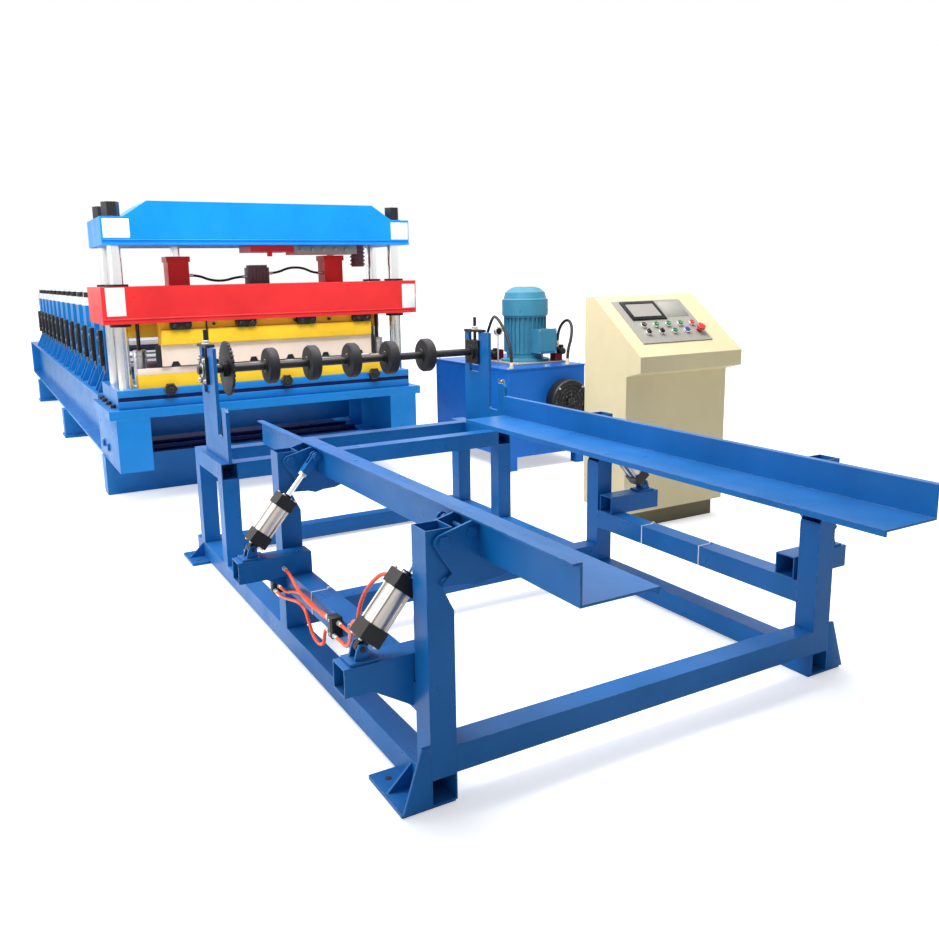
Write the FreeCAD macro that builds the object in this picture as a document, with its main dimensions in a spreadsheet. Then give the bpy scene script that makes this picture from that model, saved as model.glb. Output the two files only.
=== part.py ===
import FreeCAD, Part
import math
import os
import Sketcher

os.makedirs("parts", exist_ok=True)
doc = FreeCAD.newDocument("roll_forming_line")
sheet = doc.addObject("Spreadsheet::Sheet", "size")


class Size:
    """A length in millimetres together with the expression that gives it."""

    def __init__(self, value, text):
        self.value = float(value)
        self.text = text

    def __float__(self):
        return self.value

    def __add__(self, other):
        return join(self, "+", other)

    def __radd__(self, other):
        return join(other, "+", self)

    def __sub__(self, other):
        return join(self, "-", other)

    def __rsub__(self, other):
        return join(other, "-", self)

    def __mul__(self, other):
        return join(self, "*", other)

    def __rmul__(self, other):
        return join(other, "*", self)

    def __truediv__(self, other):
        return join(self, "/", other)

    def __neg__(self):
        return join(0, "-", self)


def as_size(number):
    return number if isinstance(number, Size) else Size(number, repr(float(number)))


def join(left, sign, right):
    left, right = as_size(left), as_size(right)
    a, b = left.value, right.value
    value = {"+": a + b, "-": a - b, "*": a * b, "/": a / b if b else 0.0}[sign]
    return Size(value, f"({left.text} {sign} {right.text})")


def given(name, number):
    """Put one named number in the sheet."""
    given.row += 1
    sheet.set(f"A{given.row}", name)
    sheet.set(f"B{given.row}", str(number))
    sheet.setAlias(f"B{given.row}", name)
    return Size(number, f"size.{name}")


given.row = 0


def distance(across, up):
    across, up = as_size(across), as_size(up)
    return Size(math.hypot(across.value, up.value),
                f"sqrt({across.text} * {across.text} + {up.text} * {up.text})")


def slope(across, up):
    """Angle in degrees of a line that runs across and up."""
    across, up = as_size(across), as_size(up)
    return Size(math.degrees(math.atan2(up.value, across.value)),
                f"atan2({up.text}; {across.text})")


def bind(thing, prop, size):
    thing.setExpression(prop, as_size(size).text)


# Line across the floor: X across, Y from the stacker to the former, Z up
floor_z = given("floor_height", 0)
plate = given("thin_plate", 8)
pad_thick = given("foot_plate_thickness", 12)
tube = given("tube_width", 80)
wall = given("tube_wall", 4)
rail_x = given("rail_centre_x", 756)
rail_end = given("rail_length", 2660)
far_cross = given("far_cross_y", 2520)
foot_wide = given("foot_plate_reach", 85)
foot_long = given("foot_plate_length", 220)
foot_near = given("foot_plate_near_y", 11)
foot_far = given("foot_plate_far_y", 2420)
second_post = given("second_post_y", 1190)
post_top = given("post_top_z", 785)
mid_rail_z = given("mid_rail_bottom_z", 258)
stub_out = given("mount_tube_outer_x", 994)
notch_low = given("post_notch_low_z", 557)
notch_deep = given("post_notch_corner_x", 752)
notch_mid = given("post_notch_corner_z", 632)
notch_high = given("post_notch_high_z", 664)

# Swinging trays and their cylinders
hinge_x = given("tray_hinge_x", 750)
hinge_z = given("tray_hinge_z", 750)
hinge_pin = given("hinge_pin_radius", 12)
pin_play = given("pin_play", 0.3)
rod_pin_x = given("rod_pin_x", 668)
rod_pin_z = given("rod_pin_z", 768)
rod_pin = given("rod_pin_radius", 7)
open_play = given("open_pivot_play", 4.6)
base_pin_x = given("base_pin_x", 932)
base_pin_z = given("base_pin_z", 455)
tray_near = given("tray_near_y", -441)
tray_far = given("tray_far_y", 1870)
sheet_thick = given("tray_sheet", 6)
web_x = given("tray_web_x", 645)
lip_x = given("tray_lip_x", 665)
tray_top = given("tray_top_z", 803)
tray_floor = given("tray_floor_z", 703)
tray_edge = given("tray_edge_x", 412)
edge_drop = given("tray_edge_drop", 20)
bracket_gap = given("bracket_gap", 5)
cylinder_y = given("cylinder_offset_y", 136)
barrel_radius = given("barrel_radius", 33)
bore_radius = given("barrel_bore_radius", 27)
rod_radius = given("cylinder_rod_radius", 10)
head_half = given("head_half_width", 35)
tie_offset = given("tie_rod_offset", 27)
tie_radius = given("tie_rod_radius", 4)
tail_face = given("rear_head_start", 22)
tail_end = given("rear_head_end", 70)
front_face = given("front_head_start", 181)
front_end = given("front_head_end", 226)
gland_end = given("gland_end", 236)
gland_radius = given("gland_radius", 17)
fork_socket = given("fork_socket_back", 75)
fork_half = given("fork_half_width", 16)
fork_high = given("fork_half_height", 14)
fork_ring = given("fork_ring_radius", 17)
piston_start = given("piston_start", 137)
piston_thick = given("piston_thickness", 20)
tongue_half = given("tongue_half_width", 10)
cheek_half = given("cheek_half_height", 16)

# Run-out frame with the wheel shaft
portal_near = given("portal_near_y", 2050)
portal_far = given("portal_far_y", 2570)
portal_top = given("portal_top_z", 585)
rear_cross = given("portal_rear_cross_y", 2410)
shaft_y = given("wheel_shaft_y", 2350)
shaft_z = given("wheel_shaft_z", 996)
shaft_radius = given("wheel_shaft_radius", 20)
shaft_half = given("wheel_shaft_half_length", 802)
wheel_pitch = given("wheel_pitch", 220)
wheel_radius = given("wheel_radius", 90)
wheel_wide = given("wheel_width", 50)
hub_radius = given("wheel_hub_radius", 32)
stand_thick = given("shaft_stand_thickness", 16)
stand_near = given("shaft_stand_near_y", 2030)
stand_step = given("shaft_stand_step_y", 2190)
stand_far = given("shaft_stand_far_y", 2450)
stand_low = given("shaft_stand_low_top_z", 840)
stand_top = given("shaft_stand_top_z", 1108)
low_slot_near = given("low_slot_near_y", 2100)
low_slot_z = given("low_slot_bottom_z", 690)
tall_slot_half = given("tall_slot_half_width", 50)
tall_slot_z = given("tall_slot_bottom_z", 885)
sprocket_x = given("sprocket_x", 660)
sprocket_radius = given("sprocket_radius", 134)
tooth_count = given("sprocket_teeth", 34)
tooth_deep = given("sprocket_tooth_depth", 9)
sprocket_thick = given("sprocket_thickness", 12)

# Shear press
shear_near = given("shear_near_y", 3641)
shear_far = given("shear_far_y", 4350)
shear_floor = given("shear_base_top_z", 595)
bed_half = given("lower_bed_half_width", 1059)
bed_top = given("lower_bed_top_z", 650)
upper_bed_half = given("upper_bed_half_width", 994)
upper_bed_near = given("upper_bed_near_y", 3691)
upper_bed_top = given("upper_bed_top_z", 768)
low_die_half = given("lower_die_half_width", 860)
low_die_top = given("lower_die_top_z", 852)
die_near = given("lower_die_near_y", 3712)
die_deep = given("lower_die_depth", 90)
blade_low = given("upper_blade_bottom_z", 900)
slot_low = given("lower_blade_top_z", 892)
rib_pitch = given("sheet_rib_pitch", 250)
rib_high = given("sheet_rib_height", 28)
blade_thick = given("upper_blade_thickness", 12)
up_die_half = given("upper_die_half_width", 711)
up_die_low = given("upper_die_bottom_z", 1029)
slide_half = given("slide_half_width", 1043)
slide_low = given("slide_bottom_z", 1173)
slide_high = given("slide_top_z", 1396)
slide_far = given("slide_far_y", 4255)
column_x = given("column_x", 930)
column_radius = given("column_radius", 40)
column_near = given("near_column_y", 3760)
column_far = given("far_column_y", 4140)
column_top = given("column_top_z", 1884)
crown_half = given("crown_half_width", 1009)
crown_low = given("crown_bottom_z", 1641)
crown_end = given("crown_end_top_z", 1806)
crown_high = given("crown_middle_top_z", 1900)
press_x = given("press_cylinder_x", 530)
press_half = given("press_cylinder_half_width", 66)
press_top = given("press_cylinder_top_z", 1577)
press_rod = given("press_rod_radius", 30)
slide_play = given("press_running_gap", 5)
nut_radius = given("column_nut_radius", 52)
nut_high = given("column_nut_height", 90)
knob_radius = given("bed_knob_radius", 36)
knob_long = given("bed_knob_length", 34)
knob_z = given("bed_knob_z", 757)
guide_x = given("guide_post_x", 820)
guide_y = given("guide_post_y", 3842)
guide_top = given("guide_sleeve_top_z", 1000)
guide_radius = given("guide_sleeve_radius", 22)
guide_rod = given("guide_rod_radius", 12)
clamp_high = given("die_clamp_height", 44)
valve_near = given("centre_valve_near_y", 3900)
valve_top = given("centre_valve_top_z", 1502)

# Roll former
former_near = given("former_near_y", 4400)
former_long = given("former_length", 6600)
former_far = former_near + former_long
beam_low = given("base_beam_bottom_z", 262)
beam_top = given("base_beam_top_z", 668)
beam_out = given("base_beam_outer_x", 1022)
beam_in = given("base_beam_inner_x", 822)
flange_thick = given("base_flange_thickness", 14)
web_thick = given("base_web_thickness", 12)
stand_lead = given("first_roll_stand_lead", 225)
stand_pitch = given("roll_stand_pitch", 450)
stand_out_x = given("roll_stand_outer_x", 932)
stand_deep = given("roll_stand_thickness_x", 60)
stand_wide = given("roll_stand_width_y", 180)
stand_high = given("roll_stand_top_z", 1250)
cap_deep = given("roll_stand_cap_height", 58)
screw_high = given("stand_screw_top_z", 1352)
cap_high = given("stand_tie_bar_top_z", 1375)
low_roll_z = given("lower_roll_axis_z", 820)
up_roll_z = given("upper_roll_axis_z", 972)
roll_shaft = given("roll_shaft_radius", 35)
roll_radius = given("roll_radius", 74)
window_half = given("roll_stand_window_half", 46)
rib_top = given("roll_stand_rib_top_z", 830)
rib_spot = given("roll_stand_rib_offset_y", 70)
rib_thick = given("roll_stand_rib_thickness", 10)
screw_spot = given("cap_screw_offset_y", 58)
STANDS = 13

# Hydraulic station and control cabinet
tank_left = given("tank_left_x", 1612)
tank_right = given("tank_right_x", 2290)
tank_near = given("tank_near_y", 3320)
tank_far = given("tank_far_y", 4420)
tank_low = given("tank_bottom_z", 100)
tank_top = given("tank_top_z", 742)
lid_thick = given("tank_lid_thickness", 10)
motor_x = given("motor_x", 2050)
motor_y = given("motor_y", 3760)
motor_radius = given("motor_radius", 165)
motor_top = given("motor_body_top_z", 1112)
cover_top = given("motor_cover_top_z", 1325)
fin_deep = given("motor_fin_depth", 18)
FINS = 28
cooler_x = given("cooler_x", 2101)
cooler_z = given("cooler_z", 488)
cooler_radius = given("cooler_radius", 165)
box_left = given("cabinet_left_x", 1312)
box_right = given("cabinet_right_x", 2050)
box_near = given("cabinet_near_y", 1701)
box_far = given("cabinet_far_y", 2060)
box_low = given("cabinet_bottom_z", 100)
box_lip = given("cabinet_lip_y", 1590)
box_lip_low = given("cabinet_lip_bottom_z", 897)
box_lip_high = given("cabinet_lip_top_z", 981)
box_top = given("cabinet_top_z", 1290)
box_ridge = given("cabinet_ridge_y", 1985)
panel_left = given("panel_left_x", 1397)
panel_right = given("panel_right_x", 1898)
panel_thick = given("panel_thickness", 5)
button_radius = given("button_radius", 15)

# The row frame stands under the middle of the whole line
shift_x = (bed_half - tank_right) / 2
shift_y = -(tray_near + former_far) / 2

TURNS = {
    "x": FreeCAD.Rotation(FreeCAD.Vector(0, 1, 0), 90),
    "y": FreeCAD.Rotation(FreeCAD.Vector(1, 0, 0), -90),
    "z": FreeCAD.Rotation(),
}
PLANES = {"xz": ("XZ_Plane", -1), "yz": ("YZ_Plane", 1), "xy": ("XY_Plane", 1)}


def low_high(pair):
    return sorted((as_size(pair[0]), as_size(pair[1])), key=float)


def block(name, x, y, z):
    box = doc.addObject("Part::Box", name)
    for letter, prop, pair in (("x", "Length", x), ("y", "Width", y), ("z", "Height", z)):
        low, high = low_high(pair)
        bind(box, prop, high - low)
        bind(box, "Placement.Base." + letter, low)
    return box


def drum(name, axis, span, radius, **centre):
    """A round bar along one axis; centre gives the other two coordinates."""
    bar = doc.addObject("Part::Cylinder", name)
    bar.Placement = FreeCAD.Placement(FreeCAD.Vector(), TURNS[axis])
    low, high = low_high(span)
    bind(bar, "Radius", radius)
    bind(bar, "Height", high - low)
    bind(bar, "Placement.Base." + axis, low)
    for letter, size in centre.items():
        bind(bar, "Placement.Base." + letter, size)
    return bar


def prism(name, axis, span, radius, sides, **centre):
    """A bar with flat sides along one axis, such as a bolt head or a plain roll."""
    bar = doc.addObject("Part::Prism", name)
    bar.Placement = FreeCAD.Placement(FreeCAD.Vector(), TURNS[axis])
    bar.Polygon = sides
    low, high = low_high(span)
    bind(bar, "Circumradius", radius)
    bind(bar, "Height", high - low)
    bind(bar, "Placement.Base." + axis, low)
    for letter, size in centre.items():
        bind(bar, "Placement.Base." + letter, size)
    return bar


def outline(body, name, plane, points, offset):
    """A closed sketch with every corner bound to the sheet."""
    role, turn = PLANES[plane]
    sketch = body.newObject("Sketcher::SketchObject", name + "_outline")
    origin = [f for f in body.Origin.OriginFeatures if f.Role == role][0]
    sketch.AttachmentSupport = [(origin, "")]
    sketch.MapMode = "FlatFace"
    bind(sketch, "AttachmentOffset.Base.z", offset * turn)
    spots = [FreeCAD.Vector(float(a), float(b), 0) for a, b in points]
    count = len(spots)
    lines = [Part.LineSegment(spots[i], spots[(i + 1) % count]) for i in range(count)]
    sketch.addGeometry(lines, False)
    rules = [Sketcher.Constraint("Coincident", i, 2, (i + 1) % count, 1) for i in range(count)]
    sizes = []
    for i, pair in enumerate(points):
        for kind, axis, size in (("DistanceX", -2, pair[0]), ("DistanceY", -1, pair[1])):
            size = as_size(size)
            if abs(size.value) < 1e-9:
                rules.append(Sketcher.Constraint("PointOnObject", i, 1, axis))
            elif size.value > 0:
                sizes.append((len(rules), size))
                rules.append(Sketcher.Constraint(kind, -1, 1, i, 1, size.value))
            else:
                sizes.append((len(rules), -size))
                rules.append(Sketcher.Constraint(kind, i, 1, -1, 1, -size.value))
    sketch.addConstraint(rules)
    for index, size in sizes:
        sketch.setExpression(f"Constraints[{index}]", size.text)
    return sketch


def profile(name, plane, points, span):
    """A flat outline padded along the axis square to its plane."""
    low, high = low_high(span)
    body = doc.addObject("PartDesign::Body", name)
    sketch = outline(body, name, plane, points, high if plane == "xz" else low)
    pad = body.newObject("PartDesign::Pad", name + "_pad")
    pad.Profile = sketch
    bind(pad, "Length", high - low)
    sketch.Visibility = False
    return body


def turned(name, axis, points, **centre):
    """A round piece from an outline of (radius, distance along the axis)."""
    body = doc.addObject("PartDesign::Body", name)
    sketch = outline(body, name, "xz", points, 0)
    spin = body.newObject("PartDesign::Revolution", name + "_turn")
    spin.Profile = sketch
    spin.ReferenceAxis = (sketch, ["V_Axis"])
    spin.Angle = 360
    sketch.Visibility = False
    body.Placement = FreeCAD.Placement(FreeCAD.Vector(), TURNS[axis])
    for letter, size in centre.items():
        bind(body, "Placement.Base." + letter, size)
    return body


def joined(name, pieces):
    fusion = doc.addObject("Part::MultiFuse", name)
    fusion.Shapes = pieces
    fusion.Refine = True
    return fusion


def group(name, pieces):
    bundle = doc.addObject("Part::Compound", name)
    bundle.Links = pieces
    return bundle


def less(name, base, tools):
    result = doc.addObject("Part::Cut", name)
    result.Base = base
    result.Tool = tools[0] if len(tools) == 1 else group(name + "_tools", tools)
    result.Refine = True
    return result


def mirrored(name, source, normal=(1, 0, 0), base_y=None):
    twin = doc.addObject("Part::Mirroring", name)
    twin.Source = source
    twin.Normal = FreeCAD.Vector(*normal)
    if base_y is not None:
        bind(twin, "Base.y", base_y)
    return twin


def moved(name, source, **steps):
    copy = group(name, [source])
    for letter, size in steps.items():
        bind(copy, "Placement.Base." + letter, size)
    return copy


def hollow(name, x, y, z, along):
    """Outside and inside of a square tube that runs along one axis."""
    inside = {"x": low_high(x), "y": low_high(y), "z": low_high(z)}
    for letter in "xyz":
        if letter != along:
            low, high = inside[letter]
            inside[letter] = [low + wall, high - wall]
    return (block(name, x, y, z),
            block(name + "_inside", inside["x"], inside["y"], inside["z"]))


def welded(name, tubes, solids=()):
    outsides = [t[0] for t in tubes] + list(solids)
    whole = joined(name + "_whole", outsides) if len(outsides) > 1 else outsides[0]
    return less(name, whole, [t[1] for t in tubes])


def cord(name, points, radius):
    """A hose along straight runs that tangent arcs join."""
    spots = [FreeCAD.Vector(*point) for point in points]
    edges, bends, start = [], [], spots[0]
    for before, corner, after in zip(spots, spots[1:], spots[2:]):
        back, ahead = (before - corner).normalize(), (after - corner).normalize()
        turn = math.pi - back.getAngle(ahead)
        trim = 0.45 * min(before.distanceToPoint(corner), after.distanceToPoint(corner))
        bend = trim / math.tan(turn / 2)
        inward = (back + ahead).normalize()
        entry, leave = corner + back * trim, corner + ahead * trim
        middle = corner + inward * (bend / math.cos(turn / 2) - bend)
        edges += [Part.LineSegment(start, entry).toShape(), Part.Arc(entry, middle, leave).toShape()]
        bends.append(bend)
        start = leave
    edges.append(Part.LineSegment(start, spots[-1]).toShape())
    route = Part.Wire(edges)
    ring = Part.Wire([Part.Circle(spots[0], spots[1] - spots[0], radius).toShape()])
    hose = doc.addObject("Part::Feature", name)
    hose.Shape = route.makePipeShell([ring], True, False)
    share = hose.Shape.Volume / (math.pi * radius * radius * route.Length)
    print(f"{name} length {route.Length:.0f} tightest bend {min(bends):.0f} volume share {share:.3f}")
    return hose


nodes = []


def node(name, pieces):
    """One sub-part of the line, moved into the row frame."""
    part = group(name + "_node", pieces)
    part.Label = name
    bind(part, "Placement.Base.x", shift_x)
    bind(part, "Placement.Base.y", shift_y)
    nodes.append(part)
    return part


def both_sides(name, piece):
    return [piece, mirrored(name + "_right", piece)]


# Floor rails of the stacker with foot plates and the far cross tube
rail_low, rail_high = pad_thick, pad_thick + tube
rail_out, rail_in = rail_x + tube / 2, rail_x - tube / 2
rail_tubes = [
    hollow("left_rail", (-rail_out, -rail_in), (0, rail_end), (rail_low, rail_high), "y"),
    hollow("right_rail", (rail_in, rail_out), (0, rail_end), (rail_low, rail_high), "y"),
    hollow("far_cross", (-rail_in, rail_in), (far_cross, far_cross + tube),
           (rail_low, rail_high), "x"),
]
feet = []
for side in (-1, 1):
    for spot, start in (("near", foot_near), ("far", foot_far)):
        label = f"foot_{spot}_{'left' if side < 0 else 'right'}"
        base = block(label, (side * rail_in, side * (rail_out + foot_wide)),
                     (start, start + foot_long), (floor_z, pad_thick))
        hole_x = side * (rail_out + foot_wide / 2)
        holes = [drum(f"{label}_hole_{i}", "z", (floor_z, pad_thick), 9, x=hole_x, y=start + step)
                 for i, step in enumerate((foot_long / 5, foot_long * 4 / 5))]
        rib = profile(label + "_rib", "xz",
                      [(side * rail_out, pad_thick),
                       (side * (rail_out + foot_wide - plate), pad_thick),
                       (side * rail_out, rail_high - plate)],
                      (start + foot_long / 2 - plate / 2, start + foot_long / 2 + plate / 2))
        feet += [less(label + "_drilled", base, holes), rib]
node("floor_rails", [welded("floor_rails_frame", rail_tubes, feet)])

# Cross tubes between the posts
cross_tubes = []
for label, start in (("near", 0), ("second", second_post)):
    tube_pair = hollow(label + "_cross", (-rail_in, rail_in), (start, start + tube),
                       (rail_high, rail_high + tube), "x")
    cross_tubes.append(less(label + "_cross_tube", tube_pair[0], [tube_pair[1]]))
node("cross_tubes", cross_tubes)

# Four posts, open at the top, notched on the tray side and bored for the hinge
posts = []
for label, start in (("near", as_size(0)), ("second", second_post)):
    tube_pair = hollow(label + "_post", (-rail_out, -rail_in), (start, start + tube),
                       (rail_high, post_top), "z")
    outside = rail_in - plate
    reach = (notch_mid - notch_low) / (notch_deep - rail_in)
    notch = profile(label + "_post_notch", "xz",
                    [(-outside, notch_low - reach * plate), (-notch_deep, notch_mid),
                     (-notch_deep, notch_mid + plate * 2), (-outside, notch_high)],
                    (start - 1, start + tube + 1))
    bore = drum(label + "_post_bore", "y", (start - 1, start + tube + 1),
                hinge_pin + pin_play, x=-hinge_x, z=hinge_z)
    posts += both_sides(label + "_post_cut",
                        less(label + "_post_left", tube_pair[0], [tube_pair[1], notch, bore]))
elbow_block = block("elbow_block", (-rail_out - 38, -rail_out), (second_post + 25, second_post + 60),
                    (mid_rail_z - 24, mid_rail_z + 20))
posts[2] = joined("second_post_with_block", [posts[2], elbow_block])
node("stacker_posts", posts)

# Middle rails between the posts
mid_pair = hollow("mid_rail", (-rail_out, -rail_in), (tube, second_post),
                  (mid_rail_z, mid_rail_z + tube), "y")
mid_rail_left = less("mid_rail_left", mid_pair[0], [mid_pair[1]])
air_block = block("air_block", (-rail_out - 38, -rail_out), (600, 640),
                  (mid_rail_z + 20, mid_rail_z + 90))
node("mid_rails", [joined("mid_rail_whole", [mid_rail_left, air_block]),
                   mirrored("mid_rail_right", mid_rail_left)])

# Cross stubs that carry the cylinders, each with a rib and a clevis foot
stub_low = mid_rail_z + tube
stub_top = stub_low + tube
middle_y = (second_post + tube) / 2


def in_line(name, piece):
    """The near left piece and its three twins on the other posts."""
    far = mirrored(name + "_second", piece, (0, 1, 0), middle_y)
    return both_sides(name + "_a", piece) + both_sides(name + "_b", far)


stub_pair = hollow("mount_tube", (-stub_out, -rail_in), (cylinder_y - tube / 2, cylinder_y + tube / 2),
                   (stub_low, stub_top), "x")
stub_rib = profile("mount_rib", "xz",
                   [(-rail_out, mid_rail_z + plate), (-rail_out, stub_low),
                    (-(stub_out - tube), stub_low)],
                   (cylinder_y - tube / 2, cylinder_y - tube / 2 + plate))
node("cylinder_mounts", in_line("mount", welded("mount_left", [stub_pair], [stub_rib])))

foot_top = stub_top + plate
foot_base = block("clevis_base", (-(base_pin_x + 42), -(base_pin_x - 42)),
                  (cylinder_y - head_half, cylinder_y + head_half), (stub_top, foot_top))
cheeks = []
for label, sign in (("near", -1), ("far", 1)):
    inner = cylinder_y + sign * (tongue_half + bracket_gap)
    outer = inner + sign * plate
    cheeks.append(profile(f"cheek_{label}", "xz",
                          [(-(base_pin_x + cheek_half + 8), foot_top),
                           (-(base_pin_x - cheek_half), foot_top),
                           (-(base_pin_x - cheek_half), base_pin_z),
                           (-(base_pin_x - cheek_half * 0.6), base_pin_z + cheek_half * 0.8),
                           (-(base_pin_x + cheek_half * 0.6), base_pin_z + cheek_half * 0.8),
                           (-(base_pin_x + cheek_half), base_pin_z)],
                          (inner, outer)))
pin_ends = (cylinder_y - tongue_half - bracket_gap - plate - 4,
            cylinder_y + tongue_half + bracket_gap + plate + 4)
pin_hole = drum("clevis_hole", "y", pin_ends, rod_pin, x=-base_pin_x, z=base_pin_z)
foot_whole = joined("clevis_whole", [foot_base] + cheeks)
node("clevis_feet", in_line("clevis", less("clevis_left", foot_whole, [pin_hole])))
node("rear_pins", in_line("rear_pin", drum("rear_pin_left", "y", pin_ends, rod_pin,
                                           x=-base_pin_x, z=base_pin_z)))

# Folded sheet trays with a top lip and a turned down edge
under = tray_floor - sheet_thick
tray_left = profile("tray_sheet_left", "xz",
                    [(-lip_x, tray_top - sheet_thick), (-lip_x, tray_top),
                     (-(web_x - sheet_thick), tray_top), (-(web_x - sheet_thick), tray_floor),
                     (-tray_edge, tray_floor), (-tray_edge, tray_floor - edge_drop),
                     (-(tray_edge + sheet_thick), tray_floor - edge_drop),
                     (-(tray_edge + sheet_thick), under), (-web_x, under),
                     (-web_x, tray_top - sheet_thick)],
                    (tray_near, tray_far))
node("left_tray", [tray_left])
node("right_tray", [mirrored("tray_sheet_right", tray_left)])

# Hinge plates that straddle each post
plate_outline = [
    (-web_x, tray_top - sheet_thick), (-lip_x, tray_top - sheet_thick),
    (-(hinge_x + 14), hinge_z + 21), (-(hinge_x + 25), hinge_z + 12),
    (-(hinge_x + 28), hinge_z - 2), (-(hinge_x + 21), hinge_z - 16),
    (-(hinge_x - 23), hinge_z - 85), (-(hinge_x + 4), hinge_z - 107),
    (-(hinge_x + 6), hinge_z - 117), (-(hinge_x - 63), hinge_z - 121),
    (-(hinge_x - 93), hinge_z - 130), (-(hinge_x - 124), hinge_z - 123),
    (-(hinge_x - 171), hinge_z - 121), (-(hinge_x - 222), hinge_z - 105),
    (-(tray_edge + 22), under), (-web_x, under),
]
near_plates = []
for label, low in (("outer", -(bracket_gap + plate)), ("inner", tube + bracket_gap)):
    blank = profile(f"hinge_plate_{label}", "xz", plate_outline, (low, low + plate))
    holes = [drum(f"hinge_hole_{label}", "y", (low - 1, low + plate + 1), hinge_pin,
                  x=-hinge_x, z=hinge_z),
             drum(f"rod_hole_{label}", "y", (low - 1, low + plate + 1), rod_pin,
                  x=-rod_pin_x, z=rod_pin_z)]
    near_plates.append(less(f"hinge_plate_{label}_left", blank, holes))
left_plates, right_plates, left_pins, right_pins = [], [], [], []


def by_side(name, piece, left, right):
    quartet = in_line(name, piece)
    left += [quartet[0], quartet[2]]
    right += [quartet[1], quartet[3]]


for i, piece in enumerate(near_plates):
    by_side(f"hinge_plate_{i}", piece, left_plates, right_plates)
node("left_hinge_plates", left_plates)
node("right_hinge_plates", right_plates)


def headed_pin(name, radius, span, head, x, z):
    """A pin with a six-sided head on each end."""
    low, high = span
    return joined(name, [
        drum(name + "_shank", "y", (low, high), radius, x=x, z=z),
        prism(name + "_head", "y", (low - 7, low), head, 6, x=x, z=z),
        prism(name + "_tail", "y", (high, high + 7), head, 6, x=x, z=z)])


plate_out = -(bracket_gap + plate)
plate_in = tube + bracket_gap + plate
fork_out = cylinder_y + fork_half + 2
by_side("hinge_pin", headed_pin("hinge_pin_left", hinge_pin, (plate_out, plate_in),
                                hinge_pin + 6, -hinge_x, hinge_z), left_pins, right_pins)
by_side("rod_pin", headed_pin("rod_pin_left", rod_pin, (plate_out, fork_out),
                              rod_pin + 8, -rod_pin_x, rod_pin_z), left_pins, right_pins)
node("left_tray_pins", left_pins)
node("right_tray_pins", right_pins)

# Tray cylinders, built along X from the rear pin and then leaned to the rod pin
stroke_x, stroke_z = base_pin_x - rod_pin_x, rod_pin_z - base_pin_z
reach_long = distance(stroke_x, stroke_z)
lean = slope(stroke_x, stroke_z)


def leaned(name, piece):
    """Place one piece of the near left cylinder on its rear pin."""
    copy = group(name, [piece])
    copy.Placement = FreeCAD.Placement(FreeCAD.Vector(), FreeCAD.Rotation(FreeCAD.Vector(0, -1, 0), 1))
    bind(copy, "Placement.Base.x", -base_pin_x)
    bind(copy, "Placement.Base.y", cylinder_y)
    bind(copy, "Placement.Base.z", base_pin_z)
    bind(copy, "Placement.Rotation.Angle", lean)
    return copy


def cylinder_node(label, pieces):
    left, right = [], []
    for i, piece in enumerate(pieces):
        by_side(f"{label}_{i}", leaned(f"{label}_{i}_leaned", piece), left, right)
    node("left_" + label, left)
    node("right_" + label, right)


barrel = less("barrel", drum("barrel_outside", "x", (tail_end, front_face), barrel_radius),
              [drum("barrel_bore", "x", (tail_end - 1, front_face + 1), bore_radius)])
tie_rods = [prism(f"tie_rod_{i}", "x", (tail_end, front_face), tie_radius, 8,
                  y=sy * tie_offset, z=sz * tie_offset)
            for i, (sy, sz) in enumerate(((-1, -1), (-1, 1), (1, -1), (1, 1)))]
cylinder_node("barrels", [barrel] + tie_rods)
rear_head = joined("rear_head_whole", [
    block("rear_head_block", (tail_face, tail_end), (-head_half, head_half),
          (-head_half, head_half)),
    block("tongue", (0, tail_face), (-tongue_half, tongue_half), (-15, 15)),
    drum("tongue_end", "y", (-tongue_half, tongue_half), 15, x=0, z=0)])
rear_head = less("rear_head", rear_head,
                 [drum("tongue_hole", "y", (-tongue_half - 1, tongue_half + 1), rod_pin + pin_play,
                       x=0, z=0)])
front_head = joined("front_head_whole", [
    block("front_head_block", (front_face, front_end), (-head_half, head_half),
          (-head_half, head_half)),
    drum("gland", "x", (front_end, gland_end), gland_radius)])
front_head = less("front_head", front_head,
                  [drum("front_bore", "x", (front_face - 1, gland_end + 1),
                        rod_radius + pin_play)])
cylinder_node("cylinder_heads", [rear_head, front_head])
socket_x = reach_long - fork_socket
cylinder_node("rods", [joined("rod_and_piston", [
    drum("cylinder_rod", "x", (piston_start, socket_x), rod_radius),
    drum("piston", "x", (piston_start, piston_start + piston_thick), bore_radius - pin_play)])])
fork = joined("fork_whole", [
    block("fork_body", (socket_x, reach_long), (-fork_half, fork_half), (-fork_high, fork_high)),
    drum("fork_end", "y", (-fork_half, fork_half), fork_ring, x=reach_long, z=0)])
fork = less("fork", fork, [
    block("fork_slot", (socket_x + 36, reach_long + fork_ring + 1), (-fork_half / 2, fork_half / 2),
          (-fork_ring - 1, fork_ring + 1)),
    drum("fork_hole", "y", (-fork_half - 1, fork_half + 1), rod_pin + open_play,
         x=reach_long, z=0)])
cylinder_node("rod_forks", [fork])

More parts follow.
